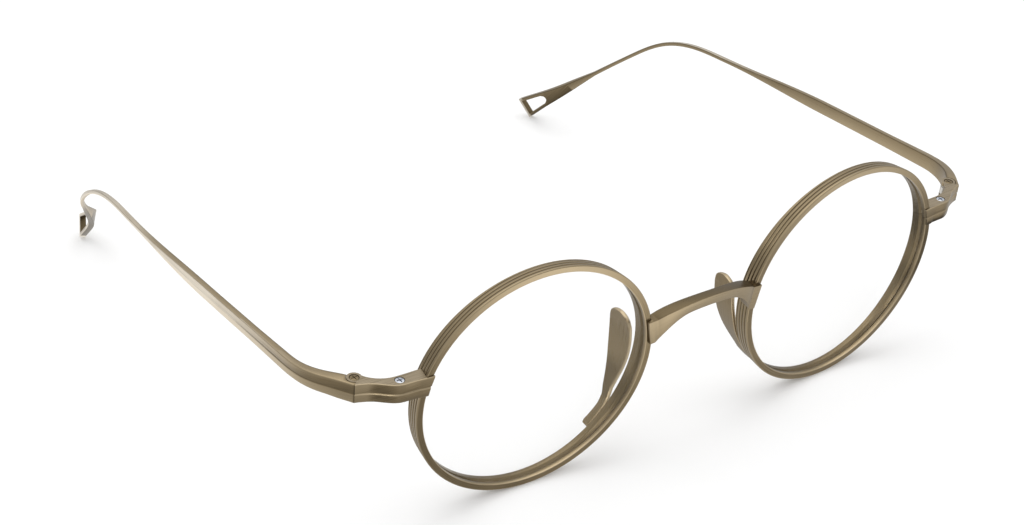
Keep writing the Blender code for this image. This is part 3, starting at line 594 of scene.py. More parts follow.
def make_bridge(metal):
    """The bar with its two plates, whose ends run along the rims."""
    rings, marks = [], []
    for i in range(-BRIDGE_STEPS, BRIDGE_STEPS + 1):
        x = BRIDGE_END * i / BRIDGE_STEPS
        soft = 1 - 0.6 * ease(abs(x), *BRIDGE_SOFT_FADE)
        ridge, front, rear, top = [(p.y, p.z) for p in bridge_edges(abs(x))]
        outline = rounded([(*ridge, 0.05, RIDGE_MARK), (*front, 0.22 * soft, BRIDGE_LOW_MARK),
                           (*rear, 0.3 * soft, 0), (*top, 0.12, BRIDGE_TOP_SHADE)], 4)
        slant = math.copysign(BRIDGE_END_SLANT * (x / BRIDGE_END) ** 2, x)
        rings.append([(x + slant * (z - BRIDGE_END_MIDDLE), y, z) for y, z, _ in outline])
        # The ridge's first point closes the top face, so it has that face's painted shade
        marks += [BRIDGE_TOP_SHADE] + [mark for _, _, mark in outline[1:]]
    bridge = skin("bridge_look", rings)
    set_marks(bridge, marks)
    apply_tools(bridge, [rim_room("room_left", 1), rim_room("room_right", -1)])
    finish_piece(bridge, metal, FRONT_BODY, ["bridge"], 30)


# Nose pads

PAD_THICKNESS = 0.8
PAD_ROUND = 0.22
PAD_DOME_CENTRE = 1.2
PAD_DOME_HEIGHT = 1.5
PAD_DOME_HALF_WIDTH = 2.5
PAD_DOME_MIDDLE = 6.75
PAD_DOME_LEVEL = 1.0
PAD_DOME_FRONT = 11.7
PAD_DOME_REAR = 11.95
PAD_DOME_FRONT_LEAN = 0.1
PAD_DOME_REAR_LEAN = 0.01
PAD_DOME_DRIFT = 0.15
PAD_DOME_ANGLES = (87, 79, 70, 60, 49, 37, 24, 10)
PAD_FRONT = [(11.69, 4.13, 0.9), (11.63, 3.9, 0.2), (11.7, 3.5, -2.2), (12.15, 3.2, -4.6),
             (12.9, 3.15, -6.9), (13.8, 3.2, -8.8), (14.75, 3.15, -10.5)]
PAD_REAR = [(11.95, 9.33, 0.9), (11.93, 9.3, 0.2), (12.05, 8.95, -2.2), (12.5, 8.2, -5.0),
            (13.2, 7.2, -7.4), (14.05, 6.25, -9.3), (14.95, 5.35, -11.0)]
# Painted highlights on the leaf's edges and a little on its faces, fading out along the foot
PAD_MARK_FADE = (-16, -11)
PAD_FACE_MARK = 0.15
FOOT_ANGLES = (35, 36.5, 38, 40, 42.5, 45, 47.5, 50, 50.9, 51.3)
FOOT_RADIUS = RIM_INNER + 0.5 * PAD_THICKNESS
FOOT_WIDTH = 1.8
FOOT_GAP = 0.02
FOOT_CORNER = 0.35
FOOT_CORNER_FROM = 50
FOOT_CORNER_RUN = 1.3
FOOT_LIFT_FADE = (33, 41)
FOOT_FRONT_LIFT = 0.5
FOOT_REAR_LIFT = 0.6


def pad_edges():
    """Front and rear edge of the leaf from its dome down to the end of its foot on the rim's back."""
    front, rear = [], []
    for degrees in PAD_DOME_ANGLES:
        z = PAD_DOME_CENTRE + PAD_DOME_HEIGHT * math.sin(math.radians(degrees))
        half = PAD_DOME_HALF_WIDTH * math.cos(math.radians(degrees))
        above = z - PAD_DOME_LEVEL
        middle = PAD_DOME_MIDDLE + PAD_DOME_DRIFT * above
        front.append(Vector((PAD_DOME_FRONT + PAD_DOME_FRONT_LEAN * above, middle - half, z)))
        rear.append(Vector((PAD_DOME_REAR + PAD_DOME_REAR_LEAN * above, middle + half, z)))
    front += curve_through(PAD_FRONT, 6)
    rear += curve_through(PAD_REAR, 6)
    for degrees in FOOT_ANGLES:
        angle = math.pi + math.radians(degrees)
        lift = 1 - ease(degrees, *FOOT_LIFT_FADE)
        back = rim_depth(angle)
        corner = FOOT_CORNER * max(0, (degrees - FOOT_CORNER_FROM) / FOOT_CORNER_RUN) ** 2
        front.append(Vector(on_rim(FOOT_RADIUS, angle, back + FOOT_GAP + FOOT_FRONT_LIFT * lift)))
        rear.append(Vector(on_rim(FOOT_RADIUS, angle, back + FOOT_WIDTH + FOOT_REAR_LIFT * lift - corner)))
    return front, rear


def slab(front, rear, thin):
    """A flat section of the pad with rounded edges, between a front and a rear point."""
    wide = (rear - front).normalized()
    width = (rear - front).length
    bevel = min(PAD_ROUND, width / 3)
    half = PAD_THICKNESS / 2
    edge = ((0.0, -half + bevel), (0.0, half - bevel), (0.35 * bevel, half - 0.3 * bevel))
    far_edge = ((width - 0.35 * bevel, half - 0.3 * bevel), (width, half - bevel), (width, -half + bevel))
    face = ((bevel, half), (width / 2, half), (width - bevel, half))
    far_face = ((width - bevel, -half), (width / 2, -half), (bevel, -half))
    return [front + wide * at + thin * offset for at, offset in edge + face + far_edge + far_face]


def make_pad(label, side, metal):
    """A leaf beside the nose, with painted highlights along its edges and a foot on the back of the rim.
    """
    front, rear = pad_edges()
    rings, marks = [], []
    for i, (f, r) in enumerate(zip(front, rear)):
        last = min(i + 1, len(front) - 1)
        first = max(i - 1, 0)
        path = ((front[last] + rear[last]) - (front[first] + rear[first])).normalized()
        thin = (r - f).normalized().cross(path).normalized()
        rings.append(slab(f, r, thin))
        leaf = ease(rings[-1][0].z, *PAD_MARK_FADE)
        marks += ([leaf] * 3 + [PAD_FACE_MARK * leaf] * 3) * 2
    pad = skin("nose_pad_look_" + label, rings, side=side)
    set_marks(pad, marks)
    finish_piece(pad, metal, FRONT_BODY, ["nose_pad_" + label], 35)


# Closing blocks

BLOCK_OUTER = [(57.4, 1.07), (58.4, 1.15), (59.3, 1.19), (60.1, 1.25), (60.8, 1.4), (61.5, 1.7),
               (62.2, 2.12), (62.9, 2.63), (63.5, 3.1), (64.1, 3.54), (64.9, 3.98), (65.7, 4.32),
               (66.5, 4.62), (67.18, 4.79)]
BLOCK_INNER = [(64.86, 6.5), (64.55, 6.0), (64.05, 5.45), (63.45, 4.95), (62.8, 4.53), (62.0, 4.17),
               (61.2, 3.93), (60.3, 3.8), (59.0, 3.73), (57.5, 3.7), (56.2, 3.68)]
BARREL_FIRST = math.radians(-76)
BARREL_LAST = math.radians(188)
BARREL_STEPS = 32
BORE_FLOOR = 0.25
SEAT_GAP = 0.035
SEAT_FLARE = 0.04
SEAT_FLARE_DEPTH = 0.02
SEAT_BELOW_HEAD = 0.05

# Edges of the halves, as (distance, inset): from the top, from the bottom and from the seam
TOP_EDGE = ((0.22, 0.0), (0.07, 0.07), (0.0, 0.2))
BOTTOM_EDGE = ((0.0, 0.16), (0.07, 0.05), (0.18, 0.0))
UPPER_SEAM = ((0.02, 0.1), (0.1, 0.0))
LOWER_SEAM = ((0.36, 0.0), (0.3, 0.02), (0.08, 0.2), (0.02, 0.26))

# Marks by height over the seam: painted highlights on the bevels and a dark line at the seam; and the
# painted shade and light that they get by distance from the middle
UPPER_MARKS = ((0.02, -1.0), (0.1, 0.0), (1.6, 0.2), (1.755, 0.9), (1.82, 0.0))
LOWER_MARKS = ((-0.36, 0.1), (-0.3, 0.9), (-0.08, 0.3), (-0.02, -0.8))
BLOCK_SHADES = ((61, 0.0), (62.5, -0.3), (64, -0.3), (65.2, 0.25))
SHADES_BELOW = 1.7
# A painted sheen on the top of a block, above this height over the seam
SHEEN_ABOVE = 1.82
BLOCK_TOP_SHEEN = 0.18


def tongue_end(z):
    """Distance of the tongue's end, which follows the rim's inner edge."""
    return RIM_SPACING / 2 + RIM_INNER * math.cos(math.asin(z / (RIM_RATIO * RIM_INNER)))


def block_ring(z, inset):
    """Outline of a block at one height: along the outside, round the barrel and back inside."""
    end = tongue_end(z)
    tip = end - 0.05
    chain = curve_through([(tip, 0.75), (end + 1.1, 0.9)] + BLOCK_OUTER, 4)
    outer = []
    for i, p in enumerate(chain):
        along = (chain[min(i + 1, len(chain) - 1)] - chain[max(i - 1, 0)]).normalized()
        outer.append((p.x - along.y * inset, p.y + along.x * inset, z))
    barrel = []
    for i in range(BARREL_STEPS + 1):
        angle = BARREL_FIRST + (BARREL_LAST - BARREL_FIRST) * i / BARREL_STEPS
        barrel.append((HINGE[0] + KNUCKLE_RADIUS * math.cos(angle),
                       HINGE[1] + KNUCKLE_RADIUS * math.sin(angle), z))
    inner = [(p.x, p.y, z) for p in curve_through(BLOCK_INNER, 4)]
    return outer + barrel + inner + [(tip, 3.5, z)]


def block_profile(upper):
    """Heights and insets of a half's rings, and the low and high end of its knuckle slot."""
    if upper:
        profile = [(BLOCK_MIDDLE + up, inset) for up, inset in UPPER_SEAM]
        profile += [(BLOCK_TOP - down, inset) for down, inset in TOP_EDGE]
        return profile, (BLOCK_MIDDLE - CUT_REACH, BLOCK_TOP - KNUCKLE_HEIGHT)
    profile = [(BLOCK_BOTTOM + up, inset) for up, inset in BOTTOM_EDGE]
    profile += [(BLOCK_MIDDLE - down, inset) for down, inset in LOWER_SEAM]
    return profile, (BLOCK_BOTTOM + KNUCKLE_HEIGHT, BLOCK_MIDDLE + CUT_REACH)


def make_block(label, side, metal, part):
    """One half of a closing block, cut for the rim, the knuckle and the two screws."""
    upper = part == "upper"
    profile, slot = block_profile(upper)
    tag = "_%s_%s" % (part, label)
    block = skin("block_look" + tag, [block_ring(z, inset) for z, inset in profile], side=side)
    tools = [rim_room("room" + tag, side)]
    tools.append(prism("slot" + tag, circle(KNUCKLE_RADIUS + SLOT_GAP, HINGE), *slot, side))
    for name, centre in (("hinge", HINGE), ("lock", LOCK_SCREW)):
        bore = circle(SHANK_RADIUS + BORE_GAP, centre, BORE_STEPS)
        low, high = BLOCK_BOTTOM + BORE_FLOOR, BLOCK_TOP + CUT_REACH
        tools.append(prism(name + "_bore" + tag, bore, low, high, side))
        if upper:
            seat = SCREW_HEAD_RADIUS + SEAT_GAP
            outline = [(seat + SEAT_FLARE, BLOCK_TOP + SEAT_FLARE_DEPTH),
                       (seat, BLOCK_TOP - SEAT_FLARE_DEPTH),
                       (seat, BLOCK_TOP - SCREW_HEAD_HEIGHT - SEAT_BELOW_HEAD)]
            tools.append(lathe(name + "_seat" + tag, outline, centre, side))
    apply_tools(block, tools)
    mark_block(block, upper)
    finish_piece(block, metal, FRONT_BODY, ["closing_block" + tag], 35)


def mark_block(piece, upper):
    """Painted highlights beside the seam and along the top edge of a block, a dark seam line, painted
    shade and light by distance from the middle, and a painted sheen on its top.
    """
    lay_grain(piece)
    painted_sheen = piece.data.attributes.new("painted_sheen", "FLOAT", "POINT").data
    grain = piece.data.attributes["grain"].data
    for i, vertex in enumerate(piece.data.vertices):
        height = vertex.co.z / MM - BLOCK_MIDDLE
        shade = between(abs(vertex.co.x) / MM, BLOCK_SHADES) if height < SHADES_BELOW else 0
        grain[i].vector.z = between(height, UPPER_MARKS if upper else LOWER_MARKS) + shade
        painted_sheen[i].value = BLOCK_TOP_SHEEN if height > SHEEN_ABOVE else 0.0


# Screws, washers and knuckles

# Edge of a screw's head as (distance inwards, distance down)
HEAD_EDGE = ((0.4, 0.0), (0.16, 0.015), (0.06, 0.05), (0.0, 0.13))
HEAD_UNDERCUT = 0.005

# Tip of its shank as (distance inwards, height over the block's bottom)
SHANK_TIP = ((0.0, 0.4), (0.1, 0.3))
CROSS_MOUTH = 0.02
CROSS_SHOULDER = 0.06
CROSS_DEPTH = 0.3
CROSS_MARK_BELOW = 0.04
WASHER_BEVEL = 0.05
WASHER_EDGE = 0.04

# Cross of a screw's head, as (reach, half width, mark); the mark is painted shade in the recess
LOCK_CROSS = (0.6, 0.12, -0.1)
HINGE_CROSS = (0.62, 0.06, -0.6)


def make_screw(kind, label, centre, side, material, cross):
    """A flat-topped cross-head screw; cross is (reach, half width, mark) of its recess, the mark a painted
    shade.
    """
    name = kind + "_look_" + label
    top = BLOCK_TOP - SCREW_BELOW_TOP
    profile = [(SCREW_HEAD_RADIUS - inwards, top - down) for inwards, down in HEAD_EDGE]
    profile += [(SCREW_HEAD_RADIUS, top - SCREW_HEAD_HEIGHT),
                (SHANK_RADIUS, top - SCREW_HEAD_HEIGHT - HEAD_UNDERCUT)]
    profile += [(SHANK_RADIUS - inwards, BLOCK_BOTTOM + up) for inwards, up in SHANK_TIP]
    screw = lathe(name, profile, centre, side)
    reach, half, shade = cross
    levels = ((top + 0.1, reach + CROSS_MOUTH, half + CROSS_MOUTH), (top - CROSS_SHOULDER, reach, half),
              (top - CROSS_DEPTH, reach * 0.5, half * 0.6))
    tools = []
    for i in range(2):
        angle = SCREW_TURN + i * math.pi / 2
        arm = Vector((math.cos(angle), math.sin(angle)))
        across = Vector((-arm.y, arm.x))
        rings = []
        for z, length, width in levels:
            corners = (-length * arm - width * across, length * arm - width * across,
                       length * arm + width * across, -length * arm + width * across)
            rings.append([(centre[0] + c.x, centre[1] + c.y, z) for c in corners])
        tools.append(skin("%s_cross_%d" % (name, i), rings, side=side))
    apply_tools(screw, tools)
    lay_grain(screw)
    grain = screw.data.attributes["grain"].data
    # Points down in the cross recess get its painted shade
    for i, vertex in enumerate(screw.data.vertices):
        x, y, z = vertex.co / MM
        inside = math.hypot(abs(x) - centre[0], y - centre[1]) < SCREW_HEAD_RADIUS - 0.05
        if inside and z < top - CROSS_MARK_BELOW:
            grain[i].vector.z = shade
    finish_piece(screw, material, FRONT_BODY, [kind + "_" + label], 30)


def make_washer(label, side, material, part):
    """A thin ring between the knuckle and one half of the block."""
    low = BLOCK_BOTTOM + KNUCKLE_HEIGHT + HINGE_PLAY
    if part == "upper":
        low = BLOCK_TOP - KNUCKLE_HEIGHT - HINGE_PLAY - WASHER_THICKNESS
    flat = WASHER_RADIUS - WASHER_BEVEL
    profile = [(WASHER_BORE, 0.0), (flat, 0.0), (WASHER_RADIUS, WASHER_EDGE),
               (WASHER_RADIUS, WASHER_THICKNESS - WASHER_EDGE), (flat, WASHER_THICKNESS),
               (WASHER_BORE, WASHER_THICKNESS)]
    rings = []
    steps = 64
    for i in range(steps):
        a = 2 * math.pi * i / steps
        rings.append([(HINGE[0] + r * math.cos(a), HINGE[1] + r * math.sin(a), low + z)
                      for r, z in profile])
    tag = "_%s_%s" % (part, label)
    washer = skin("washer_look" + tag, rings, closed=True, side=side)
    finish_piece(washer, material, FRONT_BODY, ["hinge_washer" + tag], 50)


def tang_outline(gap=0.0):
    """The tang that runs from the knuckle into the temple, seen from above."""
    along = Vector((math.sin(TEMPLE_SWEEP), math.cos(TEMPLE_SWEEP)))
    across = Vector((math.cos(TEMPLE_SWEEP), -math.sin(TEMPLE_SWEEP)))
    offset = (Vector(TEMPLE_START) - Vector(HINGE)).dot(across)
    far, half = TANG_LENGTH + gap, TANG_HALF_WIDTH + gap
    corners = ((0.0, offset - half), (0.0, offset + half), (far, offset + half), (far, offset - half))
    return [tuple(Vector(HINGE) + along * a + across * b) for a, b in corners]


def make_knuckle(label, side, material):
    """The middle leaf of the hinge, with its tang, which turns with the temple."""
    low, high = BLOCK_MIDDLE - TANG_HEIGHT / 2, BLOCK_MIDDLE + TANG_HEIGHT / 2
    slim = KNUCKLE_RADIUS - KNUCKLE_EDGE
    profile = [(slim, high), (KNUCKLE_RADIUS, high - KNUCKLE_EDGE), (KNUCKLE_RADIUS, low + KNUCKLE_EDGE),
               (slim, low)]
    knuckle = lathe("knuckle_look_" + label, profile, HINGE, side)
    tang = prism("tang_" + label, tang_outline(), low + 0.01, high - 0.01, side)
    apply_tools(knuckle, [tang], "UNION")
    bore = circle(KNUCKLE_BORE, HINGE, BORE_STEPS)
    apply_tools(knuckle, [prism("bore_" + label, bore, low - CUT_REACH, high + CUT_REACH, side)])
    lay_grain(knuckle)
    finish_piece(knuckle, material, "temple_arm_" + label, ["temple_knuckle_" + label], 35)


# Temples

# Turns of the temple's path, as (degrees, from, to) along it: inwards and downwards
TEMPLE_TURNS = ((4.4, 30, 90), (30.8, 89.7, 120.2), (-28.4, 123.2, 133.5))
TEMPLE_DROPS = ((6.1, 2.5, 6), (35, 75.4, 103.9))
SWEEP_FADE = (1.5, 15.6)
ROLL_FADE = (105, 130)
PATH_STEPS = 1124
HINGE_END_STEPS = 160
TIP_START_STEPS = 832

# Sections by distance along the temple
STEM_HEIGHT = 2.5
WIRE_HEIGHT = 0.8
WIRE_FADE = (43, 71.5)
TEMPLE_HEIGHTS = ((0, BLOCK_HEIGHT), (3, 3.6), (5.5, 3.36), (12, 2.9), (25, 2.65), (45, STEM_HEIGHT),
                  (141, STEM_HEIGHT))
TEMPLE_THICKNESSES = ((0, 2.3), (5, 1.75), (12, 1.35), (24, 1.15), (55, 1.1), (85, 0.9), (103, 0.66),
                      (112, 0.78), (122, 1.25), (141, 1.25))
TIP_FLARE = 4.2
TIP_FLARE_START = 115.5
TIP_FLARE_POWER = 1.05
SIDE_GROOVE_DEPTH = 0.17
SIDE_GROOVE_FADE = (10, 42)

# Opening of the tip
WINDOW_MIDDLE = 136.0
NOSE_PLACE = 131.0
NOSE_RADIUS = 0.8
NOSE_BLEND = 0.3
WINDOW_REACH = 3
# Painted shade on the walls of the opening
WALL_SHADE = -0.65

# Painted sheen, highlights and shade of the temple, and where they come or go along it
OUTER_SHEEN = 0.78
OUTER_FADE = (5, 42)
TOP_SHEEN_COMES = (55, 85)
TOP_SHEEN_GOES = (104, 118)
UNDERSIDE_SHADE = -1.3
UNDERSIDE_FADE = (110, 122)
HINGE_SHADE = 0.35
HINGE_SHADE_TOP = 0.1
HINGE_FADE = (4, 13)
START_SHADE = 1.4
START_FADE = (0, 0.3)


def heading(s):
    """Directions of the path at a distance along it, as angles inwards and downwards."""
    plan = -TEMPLE_SWEEP * (1 - ease(s, *SWEEP_FADE))
    for degrees, start, end in TEMPLE_TURNS:
        plan += math.radians(degrees) * ease(s, start, end)
    slope = sum(math.radians(degrees) * ease(s, start, end) for degrees, start, end in TEMPLE_DROPS)
    return plan, slope


def temple_height(s):
    height = between(s, TEMPLE_HEIGHTS) + (WIRE_HEIGHT - STEM_HEIGHT) * ease(s, *WIRE_FADE)
    flare = max((s - TIP_FLARE_START) / (TEMPLE_LENGTH - TIP_FLARE_START), 0)
    return height + TIP_FLARE * flare ** TIP_FLARE_POWER


def temple_path():
    """Stations along the temple: distance, place, and the directions along, up and outwards."""
    step = TEMPLE_LENGTH / PATH_STEPS
    place = Vector((TEMPLE_START[0], TEMPLE_START[1], BLOCK_MIDDLE))
    out = []
    for i in range(PATH_STEPS + 1):
        s = i * step
        plan, slope = heading(s)
        along = Vector((-math.sin(plan) * math.cos(slope), math.cos(plan) * math.cos(slope),
                        -math.sin(slope)))
        up = Vector((-math.sin(plan) * math.sin(slope), math.cos(plan) * math.sin(slope),
                     math.cos(slope)))
        level = Vector((math.cos(plan), math.sin(plan), 0))
        roll = TIP_ROLL * ease(s, *ROLL_FADE)
        out.append((s, place.copy(), along, up * math.cos(roll) - level * math.sin(roll),
                    level * math.cos(roll) + up * math.sin(roll)))
        place += along * step
    return out


def temple_ring(station):
    """Section of the temple at a station, as (point, mark, sheen): grooved outside near the hinge, with
    painted highlights, painted shade and a painted sheen.
    """
    s, middle, along, up, out = station
    high, thick = temple_height(s) / 2, between(s, TEMPLE_THICKNESSES) / 2
    bevel = min(0.22, high * 0.55, thick * 0.6)
    small = min(0.1, bevel * 0.6)
    lip = 0.3 * min(high, thick)
    flank = min(0.2, high * 0.3)
    groove = SIDE_GROOVE_DEPTH * (1 - ease(s, *SIDE_GROOVE_FADE)) + 0.004
    # Marks: painted highlights on the outer edges, painted shade on the inner top edge, darker in the side
    # groove
    corners = [(-thick, high, small, -0.7), (lip - thick, high, 0, 0.25), (thick, high, bevel, 0.5),
               (thick, flank * 0.6, 0.03, 0), (thick - groove, 0.0, 0.0, -0.7),
               (thick, -flank * 1.2, 0.03, 0.9), (thick, -high, bevel * 0.9, 1),
               (-thick, -high, small, 0.6), (-thick, high - lip, 0, 0.1)]
    # A painted sheen on the outer face, on the top of the wire and at the very tip
    outer = OUTER_SHEEN * ease(s, *OUTER_FADE)
    top = ease(s, *TOP_SHEEN_COMES) * (1 - ease(s, *TOP_SHEEN_GOES))
    end = ease(s, TEMPLE_LENGTH - 1.2, TEMPLE_LENGTH - 0.8)
    under = ease(s, *UNDERSIDE_FADE)
    near_hinge, at_hinge = 1 - ease(s, *HINGE_FADE), 1 - ease(s, *START_FADE)
    ring = []
    for a, b, mark in rounded(corners, 3):
        on_top = b > 0.9 * high
        painted_sheen = max(end, outer if a > 0.9 * thick - groove else 0.0, top if on_top else 0.0)
        # Painted shade on the underside towards the tip, and on the outside near the hinge
        if b < -0.9 * high:
            mark += (UNDERSIDE_SHADE - mark) * under
        if a > 0.5 * thick:
            shade = HINGE_SHADE if b < 0.9 * high else HINGE_SHADE_TOP
            mark -= shade * near_hinge + START_SHADE * at_hinge
        ring.append((middle + out * a + up * b, mark, painted_sheen))
    return ring


def tip_window(label, side, path):
    """The opening in the tip plate, an even bar away from the plate's edges, with a round nose."""
    s0, place, along, up, out = min(path, key=lambda station: abs(station[0] - WINDOW_MIDDLE))
    rear = TEMPLE_LENGTH - TIP_BAR
    rows, turns = 8, 12
    top = []
    for i in range(rows + 1):
        s = rear + (NOSE_PLACE + NOSE_BLEND - rear) * i / rows
        top.append((s - s0, temple_height(s) / 2 - TIP_BAR))
    nose = []
    for i in range(1, turns):
        angle = math.radians(90 + 180 * i / turns)
        nose.append((NOSE_PLACE - s0 + NOSE_RADIUS * math.cos(angle), NOSE_RADIUS * math.sin(angle)))
    outline = top + nose + [(a, -b) for a, b in reversed(top)]
    rings = [[place + along * a + up * b + out * reach for a, b in outline]
             for reach in (-WINDOW_REACH, WINDOW_REACH)]
    return skin("window_" + label, rings, side=side)


def darken_walls(temple):
    """Paint shade on the walls of the tip's opening and take the painted sheen off them, apart from the
    plate round them.
    """
    build = bmesh.new()
    build.from_mesh(temple.data)
    grain = build.verts.layers.float_vector["grain"]
    painted_sheen = build.verts.layers.float["painted_sheen"]
    walls = [face for face in build.faces if face.material_index == 1]
    for face in bmesh.ops.split(build, geom=walls)["geom"]:
        if isinstance(face, bmesh.types.BMFace):
            face.material_index = 0
            for vertex in face.verts:
                vertex[grain] = (vertex[grain][0], vertex[grain][1], WALL_SHADE)
                vertex[painted_sheen] = 0.0
    build.to_mesh(temple.data)
    build.free()


def make_temple(label, side, metal):
    """The temple from its hinge to its tip, with more rings at both ends than between them."""
    path = temple_path()
    chosen = path[:HINGE_END_STEPS:2] + path[HINGE_END_STEPS:TIP_START_STEPS:6]
    chosen += path[TIP_START_STEPS:PATH_STEPS:3] + [path[-1]]
    points = [temple_ring(station) for station in chosen]
    rings = [[p for p, _, _ in ring] for ring in points]
    temple = skin("temple_look_" + label, rings, side=side, along=[station[0] for station in chosen])
    layer = temple.data.attributes.new("painted_sheen", "FLOAT", "POINT")
    layer.data.foreach_set("value", [painted_sheen for ring in points for _, _, painted_sheen in ring])
    set_marks(temple, [mark for ring in points for _, mark, _ in ring])
    pocket = prism("pocket_" + label, circle(POCKET_RADIUS, HINGE), BLOCK_BOTTOM - CUT_REACH,
                   BLOCK_TOP + CUT_REACH, side)
    slot_half = TANG_HEIGHT / 2 + TANG_GAP
    slot = prism("tang_slot_" + label, tang_outline(TANG_GAP), BLOCK_MIDDLE - slot_half,
                 BLOCK_MIDDLE + slot_half, side)
    apply_tools(temple, [pocket, slot])
    window = tip_window(label, side, path)
    window.data.materials.append(bpy.data.materials.new("wall"))
    temple.data.materials.append(metal)
    apply_tools(temple, [window], transfer=True)
    darken_walls(temple)
    finish_piece(temple, metal, "temple_arm_" + label, ["temple_" + label], 35)


# Surroundings

FLOOR_SIZE = 3.0
FLOOR_LEVEL = -0.00005
FLOOR_GLOW = 0.06

# What polished metal mirrors of the floor: a level, and spots of (centre in metres, reach, more or less)
MIRRORED_LEVEL = 0.85
MIRRORED_FIELDS = [
    ((-0.105, 0.05, 0), 0.09, 0.5),
    ((-0.1, -0.084, 0), 0.035, -0.42),
    ((0.03, -0.09, 0), 0.04, 0.1),
    ((-0.001, -0.116, 0), 0.045, 1.1),
    ((-0.045, 0.08, 0), 0.025, 0.3),
    ((-0.048, -0.072, 0), 0.03, -0.2),
    ((0.022, 0.01, 0), 0.04, 0.55),
    ((0.035, -0.04, 0), 0.028, -0.6),
    ((0.085, -0.115, 0), 0.04, 0.8),
    ((0.088, -0.07, 0), 0.024, -0.8),
]

# Grey of the room by height, from straight down to straight up
ROOM_LOWEST = 0.4
ROOM_HIGHEST = 1.05
ROOM_BETWEEN = ((0.3, 0.75), (0.55, 1.0))

# Name: azimuth, elevation, distance, size, power
LIGHTS = {
    "softbox_above": (160, 80, 1.0, (1.2, 1.0), 3),
    "softbox_front": (-35, 20, 1.1, (0.25, 0.25), 0.8),
}
LIGHTS_AIM = Vector((0, 0, 0.02))

# The photograph's camera in the frame of the front
CAMERA_AZIMUTH = math.radians(-37.94)
CAMERA_ELEVATION = math.radians(33.297)
CAMERA_ROLL = math.radians(5.881)
CAMERA_TARGET = Vector((-42.16, 0, 26.11))
CAMERA_DISTANCE = 333.9
FOCAL_PIXELS = 2116.1
PHOTO_WIDTH_PIXELS = 1024


def mirrored_strength(tree):
    """Brightness of the floor where a glossy ray meets it."""
    place = add_node(tree, "ShaderNodeNewGeometry", (-600, -500)).outputs["Position"]
    level = MIRRORED_LEVEL
    for centre, reach, strength in MIRRORED_FIELDS:
        away = add_node(tree, "ShaderNodeVectorMath", (-400, -500), {0: place, 1: centre},
                        operation="DISTANCE").outputs["Value"]
        fade = map_range(tree, (-200, -500), away, (0.2 * reach, reach), (strength, 0.0),
                         interpolation_type="SMOOTHSTEP")
        level = calculate(tree, (0, -500), "ADD", level, fade)
    return level


def make_floor():
    """A matt white table, which looks a little brighter to the camera and has its own reflection."""
    mesh = bpy.data.meshes.new("floor")
    corners = [(x * FLOOR_SIZE, y * FLOOR_SIZE, 0) for x, y in ((-1, -1), (1, -1), (1, 1), (-1, 1))]
    mesh.from_pydata(corners, [], [(0, 1, 2, 3)])
    floor = bpy.data.objects.new("floor", mesh)
    floor.location.z = FLOOR_LEVEL
    bpy.context.scene.collection.objects.link(floor)
    material, tree, shader = new_material("white_table")
    shader.inputs["Base Color"].default_value = (0.86, 0.86, 0.86, 1)
    shader.inputs["Roughness"].default_value = 0.9
    shader.inputs["Specular IOR Level"].default_value = 0.0
    matt = shader.outputs[0]
    rays = add_node(tree, "ShaderNodeLightPath", (0, 400)).outputs
    glow = add_node(tree, "ShaderNodeEmission", (0, -300), {"Strength": FLOOR_GLOW}).outputs[0]
    seen = add_node(tree, "ShaderNodeAddShader", (200, 0), {0: matt, 1: glow}).outputs[0]
    mirrored = add_node(tree, "ShaderNodeEmission", (400, -300),
                        {"Strength": mirrored_strength(tree)}).outputs[0]
    table = mix_shaders(tree, (400, 0), rays["Is Camera Ray"], matt, seen)
    table = mix_shaders(tree, (600, 0), rays["Is Glossy Ray"], table, mirrored)
    tree.links.new(table, tree.nodes["Material Output"].inputs["Surface"])
    mesh.materials.append(material)


def make_world():
    """A room that is bright overhead and dimmer round the table, and white where the camera looks."""
    world = bpy.data.worlds.new("studio")
    bpy.context.scene.world = world
    world.use_nodes = True
    tree = world.node_tree
    back = tree.nodes["Background"]
    way = add_node(tree, "ShaderNodeTexCoord", (-900, 0)).outputs["Generated"]
    height = add_node(tree, "ShaderNodeSeparateXYZ", (-700, 0), {0: way}).outputs["Z"]
    ramp = add_node(tree, "ShaderNodeValToRGB", (-500, 0), {"Fac": height})
    steps = ramp.color_ramp.elements
    for step, value in zip(steps, (ROOM_LOWEST, ROOM_HIGHEST)):
        step.color = (value, value, value, 1)
    for position, value in ROOM_BETWEEN:
        steps.new(position).color = (value, value, value, 1)
    tree.links.new(ramp.outputs["Color"], back.inputs["Color"])
    white = add_node(tree, "ShaderNodeBackground", (0, -200), {"Color": (1, 1, 1, 1)}).outputs[0]
    rays = add_node(tree, "ShaderNodeLightPath", (0, 400)).outputs
    room = mix_shaders(tree, (300, 0), rays["Is Camera Ray"], back.outputs[0], white)
    tree.links.new(room, tree.nodes["World Output"].inputs["Surface"])


def direction(azimuth, elevation):
    """Way from the object to a place round it: azimuth 0 is in front, in radians."""
    return Vector((math.sin(azimuth) * math.cos(elevation), -math.cos(azimuth) * math.cos(elevation),
                   math.sin(elevation)))


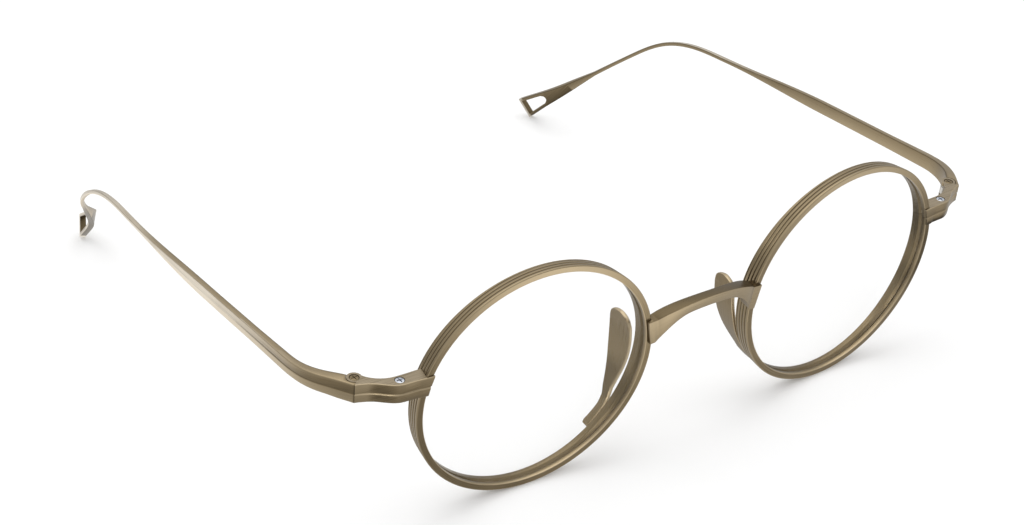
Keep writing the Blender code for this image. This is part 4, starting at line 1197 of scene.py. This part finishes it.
def add_light(name):
    azimuth, elevation, distance, size, power = LIGHTS[name]
    light = bpy.data.lights.new(name, "AREA")
    light.shape = "RECTANGLE"
    light.size, light.size_y = size
    light.energy = power
    lamp = bpy.data.objects.new(name, light)
    bpy.context.scene.collection.objects.link(lamp)
    towards = direction(math.radians(azimuth), math.radians(elevation))
    lamp.location = LIGHTS_AIM + towards * distance
    lamp.rotation_euler = towards.to_track_quat("Z", "Y").to_euler()


def make_camera():
    """The photograph's camera, put where the front stands."""
    back = direction(CAMERA_AZIMUTH, CAMERA_ELEVATION)
    right = Vector((math.cos(CAMERA_AZIMUTH), math.sin(CAMERA_AZIMUTH), 0))
    up = back.cross(right)
    right_rolled = right * math.cos(CAMERA_ROLL) + up * math.sin(CAMERA_ROLL)
    up_rolled = up * math.cos(CAMERA_ROLL) - right * math.sin(CAMERA_ROLL)
    turn = Matrix((right_rolled, up_rolled, back)).transposed().to_4x4()
    data = bpy.data.cameras.new("camera")
    data.sensor_width = 36
    data.lens = data.sensor_width * FOCAL_PIXELS / PHOTO_WIDTH_PIXELS
    data.clip_start = 0.01
    data.clip_end = 20
    camera = bpy.data.objects.new("camera", data)
    bpy.context.scene.collection.objects.link(camera)
    place = Matrix.Translation((CAMERA_TARGET + back * CAMERA_DISTANCE) * MM)
    camera.matrix_world = STAND @ place @ turn
    bpy.context.scene.camera = camera


def main():
    bronze, dark_bronze, silver, bare = [brushed_metal(name) for name in METALS]
    glass = clear_glass()
    nylon = washer_plastic()
    make_bridge(bronze)
    for label, side in SIDES.items():
        make_rim(label, side, bronze)
        make_lens(label, side, glass)
        make_pad(label, side, bronze)
        make_block(label, side, bronze, "upper")
        make_block(label, side, bronze, "lower")
        make_screw("lock_screw", label, LOCK_SCREW, side, silver, LOCK_CROSS)
        make_screw("hinge_screw", label, HINGE, side, dark_bronze, HINGE_CROSS)
        make_washer(label, side, nylon, "upper")
        make_washer(label, side, nylon, "lower")
        make_knuckle(label, side, bare)
        make_temple(label, side, bronze)
    make_floor()
    make_world()
    make_camera()
    for name in LIGHTS:
        add_light(name)
    bpy.context.scene.view_settings.view_transform = "Standard"


main()
